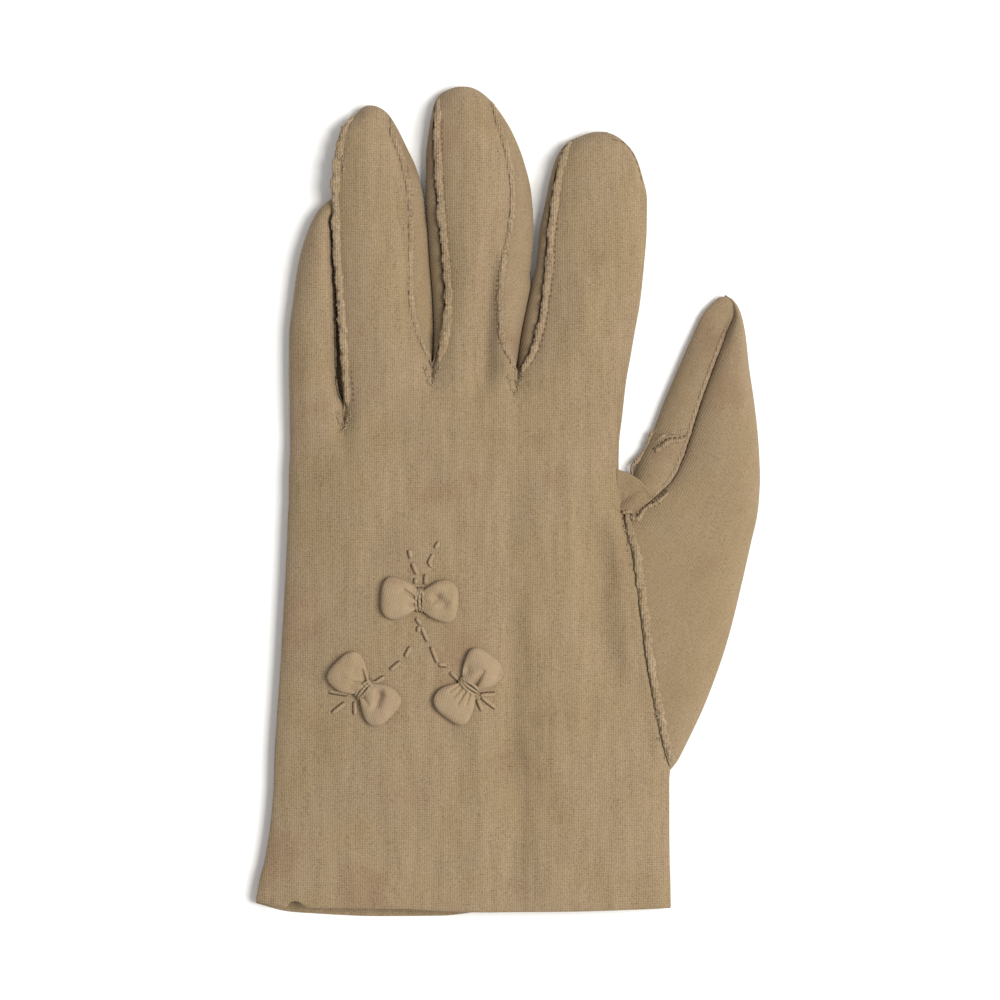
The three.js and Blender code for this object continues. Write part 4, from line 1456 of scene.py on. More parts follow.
@dataclass
class Fork:
    """The forked strip between two fingers: a wall up each finger, joined at the crotch."""

    crotch: Crotch
    cut_mm: tuple[float, float] = (20.0, 80.0)
    columns: int = 18
    low_z: float = 2.1
    bulge: float = 0.5
    joined: float = 3.4
    touch_y: float = 0.0
    hidden_left: bool = False

    def wall(self, digit: DigitForm, side: Side) -> Array:
        """The net of the wall up one finger, from its back seam down to the palm's rim.

        Args:
            digit: The finger.
            side: Which side of the finger it closes.

        Returns:
            Places by row and column.
        """
        start = self.crotch.y - 0.3
        end = digit.start + 0.968 * digit.length
        rows = np.concatenate([np.arange(start, end - 6, ROW_STEP), np.linspace(end - 6, end, 18)])
        sign = side.value
        seam_x = np.where(rows < self.crotch.y, self.crotch.x, digit.seam_x(side, rows)) + sign * 0.15
        seam_z = digit.seam_z(rows) + digit.rise(side, rows) - 0.45
        parted = smoothstep((rows - self.crotch.y) / self.joined)
        edge_x = digit.edge_x(side, rows)
        meeting = (self.crotch.left.edge_x(Side.RIGHT, rows) + self.crotch.right.edge_x(Side.LEFT, rows)) / 2
        own = smoothstep((rows - self.crotch.y - 1.0) / 4.0)
        foot_x = np.where(sign * (edge_x - meeting) > 0, meeting - sign * 0.12, edge_x)
        if side is Side.RIGHT:
            touching = 1 - smoothstep((rows - self.touch_y + 6.0) / 6.0)
            pressed = np.maximum(foot_x, self.crotch.right.edge_x(Side.LEFT, rows) - 0.1)
            foot_x = foot_x * (1 - touching) + pressed * touching
        foot_x = self.crotch.x * (1 - own) + foot_x * own
        foot_z = (seam_z - 0.2) * (1 - parted) + self.low_z * parted
        share = np.linspace(0, 1, self.columns)[None, :]
        steep = self.hidden_left and side is Side.RIGHT
        drop = np.sin(share * np.pi / 2) ** 1.4 if steep else 1 - np.cos(share * np.pi / 2) ** 1.1
        reach = share ** 3.0 if steep else np.sin(share * np.pi / 2) ** 1.15
        room = np.clip((sign * (foot_x - seam_x)) / 4.0, 0, 1) * parted
        x = seam_x[:, None] + (foot_x - seam_x)[:, None] * reach
        z = seam_z[:, None] + (foot_z - seam_z)[:, None] * drop
        x = x - sign * 0.6 * smoothstep((digit.along(rows) - 0.915) / 0.045)[:, None]
        x = x + (0 if steep else 1) * sign * self.bulge * (np.sin(share * np.pi) * room[:, None]) * 0.5
        z = z - 0.25 * np.exp(-((share * self.columns / 1.2) ** 2))
        y = np.repeat(rows[:, None], self.columns, 1)
        slack = 0.1 * lattice_noise(x, y, 4.0, 21) + 0.12 * lattice_noise(x, y * 0.4, 2.4, 23)
        z = z + slack * np.sin(share * np.pi)
        net = np.stack([x, y, z], -1)
        return net if side is Side.RIGHT else net[:, ::-1]

    def build(self) -> bpy.types.Object:
        """Builds the fork's mesh.

        Returns:
            The piece.
        """
        shell = Shell()
        shell.grid(self.wall(self.crotch.left, Side.RIGHT))
        shell.grid(self.wall(self.crotch.right, Side.LEFT))
        name = f"fork_cloth_{self.crotch.left.name}_{self.crotch.right.name}"
        return thicken(shell.piece(name, weld=WELD_MM), FORK_CLOTH_MM)

    def dress(self, finishes: Finishes) -> bpy.types.Object:
        """Args:
            finishes: The glove's materials.

        Returns:
            The piece.
        """
        node = f"fork_{self.crotch.left.name}_{self.crotch.right.name}"
        piece = dress(self.build(), finishes.soft, [node])
        return piece


@dataclass
class Thumb:
    """The set-in thumb: its folded main piece, the strip along its inner side, the gusset and the crotch's web."""

    cut_mm: tuple[float, float] = (78.0, 128.0)
    strip_cut_mm: tuple[float, float] = (12.0, 42.0)
    gusset_cut_mm: tuple[float, float] = (16.0, 24.0)
    web_cut_mm: tuple[float, float] = (12.0, 16.0)
    strip_start: float = 0.7
    gusset_start: float = 0.535
    low_z: float = 1.9
    crotch_y: float = 106.0
    tip_reach: float = 0.6
    tip_z: float = 2.3

    @property
    def tip_x(self) -> float:
        """Where the main piece and the strip both close across."""
        return float(THUMB.edge_x(Side.LEFT, THUMB.tip) + THUMB.edge_x(Side.RIGHT, THUMB.tip)) / 2

    def inner_border(self, y: Array) -> Array:
        """Where the main piece's inner seam lies across: the base seam, then the strip's seam.

        Args:
            y: Places along.

        Returns:
            The places across.
        """
        base = thumb_seam_x(y) - 0.1
        strip = THUMB.seam_x(Side.LEFT, y)
        share = smoothstep((y - 100.0) / 10.0)
        turning = base * (1 - share) + np.maximum(base, strip) * share
        return np.where(y < 110.0, turning, strip)

    def upper(self, x: Array, y: Array) -> Array:
        """The height of the thumb's upper side at each place.

        Args:
            x: Places across.
            y: Places along.

        Returns:
            The heights.
        """
        left, right = THUMB.seam_x(Side.LEFT, y), THUMB.edge_x(Side.RIGHT, y)
        middle = left + (right - left) * 0.5
        seam = THUMB.seam_z(y)
        top = seam + (THUMB.top(y) - seam) * np.clip((right - left) / 5.0, 0, 1)
        inner = np.clip((middle - x) / np.maximum(middle - left, 0.2), 0, 1)
        outer = np.clip((x - middle) / np.maximum(right - middle, 0.2), 0, 1)
        rise_in = seam + (top - seam) * (1 - inner ** 2) ** 0.8
        rise_out = self.low_z + (top - self.low_z) * np.sqrt(np.clip(1 - outer ** 3.2, 0, 1))
        slack = 0.3 * lattice_noise(x, y, 14.0, 31) + 0.09 * lattice_noise(x, y, 5.0, 32)
        return np.where(x < middle, rise_in, rise_out) + slack * (1 - outer ** 2)

    def main_net(self) -> Array:
        """The net of the main piece: over the top, round the fold and back along the floor.

        Returns:
            Places by row and column.
        """
        rows = np.concatenate([np.linspace(35.6, 40.0, 8)[:-1], finger_rows(THUMB, 40.0)])
        right = THUMB.edge_x(Side.RIGHT, rows)
        past_seam = 0.7 * smoothstep((rows - THUMB.tip + 5.0) / 3.0)
        left = np.minimum(self.inner_border(rows), right - 0.25) - past_seam
        over = np.linspace(0, 1, 46)[None, :]
        over = np.sin(over * np.pi / 2) * 0.75 + (0.5 - 0.5 * np.cos(over * np.pi)) * 0.25
        x_top = left[:, None] + (right - left)[:, None] * over
        y_top = np.repeat(rows[:, None], x_top.shape[1], 1)
        z_top = self.upper(x_top, y_top)
        beside = smoothstep((y_top - 108.0) / 4.0) * smoothstep((THUMB.tip - 2.5 - y_top) / 5.0)
        z_top = z_top - 0.6 * beside * np.exp(-(((x_top - left[:, None]) / 0.7) ** 2))
        z_top = z_top - 0.22 * beside * np.exp(-(((x_top - left[:, None]) / 2.2) ** 2))
        outline = np.where(rows < self.crotch_y, thumb_seam_x(rows) - 0.05, THUMB.edge_x(Side.LEFT, rows))
        floor_left = np.minimum(outline, right - 0.25)
        under = np.sin(np.linspace(np.pi / 2, 0, 26))[None, 1:]
        x_low = floor_left[:, None] + (right - floor_left)[:, None] * under
        y_low = np.repeat(rows[:, None], x_low.shape[1], 1)
        floor = THUMB.floor(y_low)
        rim = np.clip(1 - (right[:, None] - x_low) / FINGER_EDGE_ROUND, 0, 1)
        z_low = floor + (self.low_z - floor) * (1 - np.sqrt(1 - rim ** 2))
        free = np.clip(1 - (x_low - floor_left[:, None]) / FINGER_EDGE_ROUND, 0, 1)
        free = free * smoothstep((y_low - self.crotch_y) / 3)
        z_low = np.maximum(z_low, floor + (self.low_z - floor) * (1 - np.sqrt(1 - free ** 2)))
        net = np.concatenate([np.stack([x_top, y_top, z_top], -1), np.stack([x_low, y_low, z_low], -1)], 1)
        return closed_tip(net, self.tip_reach, self.tip_x, self.tip_z)

    def side_net(self, from_share: float, to_share: float, rows_count: int, swell: float) -> Array:
        """The net of a patch on the thumb's inner side, from its outline up to the main piece's seam.

        Args:
            from_share: Where it starts, in thumb lengths.
            to_share: Where it ends.
            rows_count: How many rows it has.
            swell: How far its middle stands out, in millimetres.

        Returns:
            Places by row and column.
        """
        share_along = np.linspace(0, 1, rows_count)
        share_along = np.sin(share_along * np.pi / 2) if to_share > 0.99 else share_along
        rows = THUMB.start + THUMB.length * (from_share + (to_share - from_share) * share_along)
        seam_x, seam_z = self.inner_border(rows) - 0.1, THUMB.seam_z(rows) + 0.1
        edge_x = THUMB.edge_x(Side.LEFT, rows)
        seam_x = np.maximum(seam_x, edge_x + 0.15)
        share = np.linspace(0, 1, 22)[None, :]
        x = edge_x[:, None] + (seam_x - edge_x)[:, None] * (1 - np.cos(share * np.pi / 2)) ** 0.7
        z = self.low_z + (seam_z - self.low_z)[:, None] * np.sin(share * np.pi / 2) ** 0.75
        room = np.clip((seam_x - edge_x) / 5.0, 0, 1)[:, None]
        z = z + swell * room * np.sin(share * np.pi) ** 1.5
        ridge = (room - smoothstep((rows - THUMB.tip + 7.0) / 4.0)[:, None]).clip(0)
        z = z + 0.3 * ridge * np.exp(-(((1 - share) / 0.06) ** 2))
        y = np.repeat(rows[:, None], x.shape[1], 1)
        slack = 0.14 * lattice_noise(x, y, 4.5, 41) + 0.06 * lattice_noise(x, y, 1.6, 42)
        z = z + slack * np.sin(share * np.pi) * room
        return np.stack([x, y, z], -1)

    def web_net(self) -> Array:
        """The net of the folded web between the index finger's side and the gusset: a fan with a rolled upper edge.

        Returns:
            Places by row and column.
        """
        upper = ((615.5, 469.5), (627, 473.5), (638.5, 480.5), (647, 488.5), (651.5, 495.5))
        lower = ((616, 516), (621, 518.5), (627, 519.5), (634, 518), (641, 511))
        arc, foot = (np.array([PICTURE.place(*point) for point in line]) for line in (upper, lower))
        u = np.linspace(0, 1, 26)
        knots = np.linspace(0, 1, 5)
        top = np.stack([monotone(knots, arc[:, i], u) for i in (0, 1)], -1)
        low = np.stack([np.interp(u, knots, foot[:, i]) for i in (0, 1)], -1)
        v = np.linspace(0, 1, 20)[None, :, None]
        plan = low[:, None] * (1 - v) + top[:, None] * v
        v = v[..., 0]
        z = 4.3 + 1.5 * u[:, None] * v + 1.1 * v ** 0.7 - 0.5 * (1 - v)
        z = z + 0.12 * np.sin(u[:, None] * 31.0) * (1 - v) ** 1.3 + 0.35 * np.sin(v * np.pi)
        net = np.concatenate([plan, z[..., None]], -1)
        outwards = np.array([0.25, 0.97, 0.0])
        rolled = [net[:, -1] + outwards * 0.25 - (0, 0, 0.2), net[:, -1] + outwards * 0.32 - (0, 0, 0.55)]
        rolled += [net[:, -1] + outwards * 0.1 - (0, 0, 0.95), net[:, -1] - outwards * 1.2 - (0, 0, 1.2)]
        return np.concatenate([net] + [row[:, None] for row in rolled], 1)

    def build(self) -> dict[str, bpy.types.Object]:
        """Builds the thumb's pieces.

        Returns:
            The pieces by what they are.
        """
        main, strip, gusset, web = Shell(), Shell(), Shell(), Shell()
        main.grid(self.main_net())
        strip_net = self.side_net(self.strip_start, 0.9995, 80, 0.3)
        strip.grid(closed_tip(strip_net, self.tip_reach, self.tip_x, self.tip_z))
        gusset.grid(self.side_net(self.gusset_start, self.strip_start + 0.006, 40, 0.8))
        web.grid(self.web_net(), flip=True)
        return {
            "main": thicken(main.piece("thumb_cloth"), CLOTH_MM),
            "strip": thicken(strip.piece("thumb_strip_cloth"), PATCH_CLOTH_MM),
            "gusset": thicken(gusset.piece("thumb_gusset_cloth"), PATCH_CLOTH_MM),
            "web": thicken(web.piece("thumb_web_cloth"), WEB_CLOTH_MM),
        }

    def dress(self, finishes: Finishes) -> None:
        """Args:
            finishes: The glove's materials.
        """
        pieces = self.build()
        dress(pieces["main"], finishes.soft, ["thumb"])
        dress(pieces["strip"], finishes.soft, ["thumb_strip"])
        dress(pieces["gusset"], finishes.soft, ["thumb_gusset"])
        dress(pieces["web"], finishes.soft)


# ---- seams, stitches and bows

# How far apart the places of a welt's line and of a stitched line lie, in millimetres.
WELT_STEP = 0.3
STITCH_STEP = 0.1


@dataclass
class Welt:
    """A raised seam: the sewn edges of two cloths, rolled into a fuzzy ridge."""

    name: str
    path: Callable[[], Array]
    width: float = 2.4
    height: float = 0.8
    rough: float = 0.26
    seed: int = 5

    def build(self) -> bpy.types.Object:
        """Builds the ridge's mesh.

        Returns:
            The piece.
        """
        path = self.path()
        count, sides = len(path), 20
        run = np.gradient(path, axis=0)
        run /= np.linalg.norm(run, axis=1, keepdims=True)
        across = np.cross(run, (0.0, 0.0, 1.0))
        across /= np.linalg.norm(across, axis=1, keepdims=True)
        lift = np.cross(across, run)
        angle = np.linspace(0, 2 * np.pi, sides, endpoint=False)[None, :]
        along = reaches(path)[:, None]
        share = along / along[-1]
        ends = np.sqrt(np.clip(1 - np.abs(2 * share - 1) ** 14, 0.02, 1))
        round_mm = angle * self.width / 2 + 0 * along
        fuzz = lattice_noise(along + 0 * angle, round_mm, 0.75, self.seed)
        lumps = lattice_noise(along + 0 * angle, round_mm * 0.5, 1.5, self.seed + 1)
        swell = 1 + 0.1 * lattice_noise(along, 0 * along, 6.0, self.seed + 2)
        scale = (1 + self.rough * (fuzz + lumps)) * ends * swell
        wide = self.width / 2 * np.sign(np.cos(angle)) * np.abs(np.cos(angle)) ** 0.85 * scale
        high = self.height * np.sin(angle) * np.where(np.sin(angle) > 0, 1.0, 0.7) * scale
        net = path[:, None] + across[:, None] * wide[..., None] + lift[:, None] * high[..., None]
        shell = Shell()
        shell.grid(net, around=True, flip=True)
        shell.close_ends(count, sides, flip=True)
        return shell.piece(self.name + "_ridge")

    def dress(self, finishes: Finishes) -> bpy.types.Object:
        """Builds and finishes the ridge."""
        return dress(self.build(), finishes.welt, [self.name])


def seam_path(digit: DigitForm, side: Side, from_y: float, to_share: float, offset: float) -> Array:
    """The line of a finger's welt: on the back's edge at a left seam, on the fork at a right one.

    Args:
        digit: The finger.
        side: Which seam.
        from_y: Where the welt starts, along the glove.
        to_share: Where it ends, in finger lengths.
        offset: How far to the right of the seam it lies.

    Returns:
        Places along the line, 0.3 mm apart.
    """
    y = np.arange(from_y, digit.start + to_share * digit.length, WELT_STEP)
    closing = smoothstep((digit.along(y) - 0.8) / 0.2)
    x = digit.seam_x(side, y) + offset * (1 - 0.35 * closing)
    if side is Side.RIGHT:
        x = np.minimum(x, digit.edge_x(side, y) - 0.75)
        z = digit.seam_z(y) + digit.rise(side, y) - 0.3
    else:
        z = digit.crown(x, y) - 0.12
    return np.stack([x, y, z], -1)


def thumb_base_path() -> Array:
    """The line of the thumb's rolled edge beside the seam that sets it into the hand.

    Returns:
        Places along the line.
    """
    y = np.arange(0.285 * HAND.length, 0.79 * HAND.length, WELT_STEP)
    x = thumb_seam_x(y) + 1.1
    z = Thumb().upper(x, y)
    return np.stack([x, y, z], -1)


def thumb_strip_path() -> Array:
    """The line of the seam between the thumb's strip and its main piece, on the strip's side."""
    y = np.arange(THUMB.start + 0.56 * THUMB.length, THUMB.start + 0.95 * THUMB.length, WELT_STEP)
    return np.stack([THUMB.seam_x(Side.LEFT, y) - 0.55, y, THUMB.seam_z(y) - 0.1], -1)


def make_welts() -> list[Welt]:
    """The seven raised seams that show from above."""
    return [
        Welt(
            "welt_ring_outer", lambda: seam_path(RING, Side.LEFT, 134.5, 0.965, 0.8), width=2.5, rough=0.31,
            seed=11
        ),
        Welt(
            "welt_ring_inner", lambda: seam_path(RING, Side.RIGHT, 147.0, 0.95, 0.5), width=1.7, height=0.5,
            seed=12
        ),
        Welt("welt_middle_outer", lambda: seam_path(MIDDLE, Side.LEFT, 146.5, 0.965, 1.1), seed=13),
        Welt(
            "welt_middle_inner", lambda: seam_path(MIDDLE, Side.RIGHT, 145.0, 0.96, 0.5), width=1.7,
            height=0.5, seed=14
        ),
        Welt("welt_index_outer", lambda: seam_path(INDEX, Side.LEFT, 143.8, 0.965, 1.15), seed=15),
        Welt("welt_thumb_strip", thumb_strip_path, width=1.2, height=0.5, rough=0.08, seed=16),
        Welt("welt_thumb_base", thumb_base_path, width=2.1, height=0.6, rough=0.3, seed=17),
    ]


class Ground:
    """The cloth that is already laid, to set small things down on."""

    def __init__(self, pieces: Sequence[bpy.types.Object]) -> None:
        """Notes the pieces' surfaces."""
        self.trees = [
            BVHTree.FromPolygons(
                [tuple(v.co) for v in piece.data.vertices], [tuple(p.vertices) for p in piece.data.polygons]
            )
            for piece in pieces
        ]

    def height(self, x: float, y: float) -> float:
        """The height of the highest cloth at a place, in pattern millimetres; 0 where there is none."""
        start = Vector(((x - PLACEMENT.origin[0]) * MM, (y - PLACEMENT.origin[1]) * MM, 0.1))
        hits = (tree.ray_cast(start, Vector((0, 0, -1))) for tree in self.trees)
        return max((hit[0].z / MM for hit in hits if hit[0] is not None), default=0.0)

    def drape(self, places: Array, lift: float | Array = 0.0) -> Array:
        """Lays places on the cloth.

        Args:
            places: Places across and along.
            lift: How far above the cloth they lie.

        Returns:
            Places with their heights.
        """
        z = np.array([self.height(px, py) for px, py in places])
        return np.column_stack([places, z + lift])


def stitched(shell: Shell, line: Array, pitch: float, share: float, radius: float) -> None:
    """Adds a row of short stitches along a line.

    Args:
        shell: Takes the stitches.
        line: Places along it, a stitch step apart.
        pitch: From one stitch to the next, in millimetres.
        share: How much of the pitch a stitch takes.
        radius: The thread's radius, in millimetres.
    """
    step = max(3, int(pitch / STITCH_STEP))
    for start in range(0, len(line) - step, step):
        shell.tube(line[start:start + max(3, int(step * share))], radius, sides=6)


def picture_line(points: Sequence[tuple[float, float]], spacing: float = STITCH_STEP) -> Array:
    """A smooth line through places in the photograph, in pattern millimetres at even spacing.

    Args:
        points: The places.
        spacing: How far apart the line's places lie.

    Returns:
        Places across and along.
    """
    ends = np.array([PICTURE.place(*point) for point in points])
    reach = reaches(ends)
    at = np.arange(0, reach[-1], spacing)
    return np.stack([monotone(reach, ends[:, 0], at), monotone(reach, ends[:, 1], at)], -1)


@dataclass
class SeamStitches:
    """The machine stitches beside the fingers' welts and in their grooves, and the thumb's seams, in darkened
    threads whose colour is partly the thread's own and partly painted groove shade.
    """

    ground: Ground

    def dress(self, finishes: Finishes) -> None:
        """Builds and finishes the stitches.

        Args:
            finishes: The glove's materials.
        """
        beside, grooves = Shell(), Shell()
        for digit, first in ((RING, 136.0), (MIDDLE, 148.0), (INDEX, 146.0)):
            y = np.arange(first, digit.start + 0.9 * digit.length, STITCH_STEP)
            x = digit.seam_x(Side.LEFT, y) + 2.3 + 0.12 * lattice_noise(y, 0 * y, 2.0, 70)
            stitched(beside, np.stack([x, y, digit.crown(x, y) + folds(x, y) - 0.05], -1), 1.5, 0.6, 0.1)
        for digit, first in ((RING, 145.5), (MIDDLE, 143.5)):
            y = np.arange(first, digit.start + 0.9 * digit.length, STITCH_STEP)
            x = digit.seam_x(Side.RIGHT, y) - 0.45 + 0.1 * lattice_noise(y, 0 * y, 1.6, 72)
            stitched(
                beside, np.stack([x, y, digit.seam_z(y) + digit.rise(Side.RIGHT, y) - 0.1], -1), 1.3, 0.6,
                0.14
            )
        y = np.arange(0.3 * HAND.length, 0.79 * HAND.length, STITCH_STEP)
        x = thumb_seam_x(y) - 0.1 + 0.35 * lattice_noise(y, 0 * y, 1.1, 71)
        z = np.minimum(relaxed(x - 0.8, y), Thumb().upper(x + 0.8, y)) - 0.55
        stitched(beside, np.stack([x, y, z], -1), 1.4, 0.7, 0.26)
        y = np.arange(THUMB.start + 0.55 * THUMB.length, THUMB.start + 0.95 * THUMB.length, STITCH_STEP)
        seam = np.stack([THUMB.seam_x(Side.LEFT, y) + 0.3, y, THUMB.seam_z(y) - 0.45], -1)
        stitched(grooves, seam, 1.5, 0.75, 0.17)
        tip = self.ground.drape(
            picture_line(((611, 139), (622, 142), (630, 150), (636, 162), (640, 176), (642, 190))), -0.06
        )
        stitched(grooves, tip, 2.2, 0.92, 0.15)
        cross = self.ground.drape(
            picture_line(((652, 449), (660, 443), (668, 438), (679, 437), (690, 434))), 0.05
        )
        stitched(grooves, cross, 1.3, 0.8, 0.2)
        foot = self.ground.drape(
            picture_line(((621, 518), (630, 519), (637, 514), (646, 505), (655, 500), (668, 488))), 0.05
        )
        stitched(grooves, foot, 1.2, 0.85, 0.38)
        for points in (((621, 510), (623, 516), (626, 522)), ((628, 511), (631, 515), (629, 521))):
            stitched(grooves, self.ground.drape(picture_line(points), 0.0), 1.3, 0.9, 0.4)
        dress(beside.piece("welt_stitches"), finishes.mid_thread)
        dress(grooves.piece("groove_stitches"), finishes.dark_thread)


@dataclass
class ThumbSeamRolls:
    """The frayed rolls of cloth along the thumb's cross seam, its crotch and its inner outline."""

    ground: Ground

    def roll(
        self, shell: Shell, points: Sequence[tuple[float, float]], radius: float, lift: float, seed: int
    ) -> None:
        """Adds a lumpy roll along places in the photograph.

        Args:
            shell: Takes the roll.
            points: The places.
            radius: Its radius, in millimetres.
            lift: How far above the cloth its middle lies.
            seed: Picks its lumps.
        """
        line = self.ground.drape(picture_line(points, 0.25), lift)
        line[:, 2] = np.convolve(np.pad(line[:, 2], 2, mode="edge"), np.ones(5) / 5, mode="valid")
        line[:, 2] = np.maximum(line[:, 2], 2.4)
        t = np.arange(len(line)) * 0.25
        lumps = 1 + 0.35 * lattice_noise(t, 0 * t, 1.0, seed) + 0.2 * lattice_noise(t, 0 * t, 0.5, seed + 1)
        shell.tube(line, radius * lumps, sides=12)

    def dress(self, finishes: Finishes) -> None:
        """Builds and finishes the rolls.

        Args:
            finishes: The glove's materials.
        """
        shell = Shell()
        self.roll(shell, ((654, 452), (662, 446), (670, 441), (680, 440), (690, 438)), 0.55, 0.0, 81)
        self.roll(shell, ((655, 441), (664, 435), (675, 432), (688, 430)), 0.4, -0.1, 82)
        self.roll(
            shell, ((658, 428), (652, 433), (646, 447), (638, 459), (631, 468), (632, 476)), 0.6, -0.2, 83
        )
        self.roll(
            shell, ((623, 524), (628, 516), (636, 519), (645, 508), (655, 503), (668, 492)), 0.6, 0.0, 84
        )
        self.roll(shell, ((621, 513), (627, 511), (633, 512)), 0.5, 0.1, 85)
        dress(shell.piece("thumb_seam_rolls"), finishes.welt)


@dataclass
class Tufts:
    """Short frayed fibres and thread ends that stand out of the seams at the crotches, a fingertip and the thumb."""

    ground: Ground
    seed: int = 90

    def spots(self) -> list[tuple[float, float, float, float, int]]:
        """Places across and along with their spreads and number of fibres.

        Returns:
            One row for each tuft.
        """
        spots = []
        for c in CROTCHES:
            for arm in (-1, 1):
                for step in range(7):
                    spots.append((c.x + arm * (1.9 - 0.26 * step), c.y + 0.9 - 0.75 * step, 0.4, 0.4, 3))
        for px, py in (
            (343, 117), (341, 123), (339.5, 130), (339, 138), (338.5, 146), (338, 156), (340, 170)
        ):
            x, y = PICTURE.place(px, py)
            spots.append((x + 0.8, y, 0.3, 1.0, 9))
        thumb = (
            (627, 519, 22), (657, 499, 18), (625, 530, 8), (629, 545, 6),
            (634, 565, 5), (655, 712, 8), (662, 738, 8), (668, 756, 8),
        )
        for px, py, count in thumb:
            x, y = PICTURE.place(px, py)
            spots.append((x, y, 0.9, 1.2, count))
        return spots

    def dress(self, finishes: Finishes) -> None:
        """Builds and finishes the fibres.

        Args:
            finishes: The glove's materials.
        """
        chance = np.random.default_rng(self.seed)
        shell = Shell()
        for x, y, wide, long, count in self.spots():
            for _ in range(count):
                sx, sy = x + wide * chance.normal() * 0.6, y + long * chance.normal() * 0.6
                z = self.ground.height(sx, sy)
                if z < 0.5:
                    continue
                turn = chance.uniform(0, math.tau)
                length = chance.uniform(0.35, 0.65)
                t = np.linspace(0, 1, 5)
                px = sx + np.cos(turn) * length * t
                py = sy + np.sin(turn) * length * t
                pz = z - 0.1 + 0.4 * np.sin(t * np.pi) * chance.uniform(0.5, 1.0)
                shell.tube(np.stack([px, py, pz], -1), chance.uniform(0.18, 0.3), sides=6)
        dress(shell.piece("frayed_fibres"), finishes.welt)


@dataclass(frozen=True)
class Crease:
    """A crease or a dent in a lobe, from one place to another in shares of its length and half width."""

    start: tuple[float, float]
    end: tuple[float, float]
    depth: float
    width: float


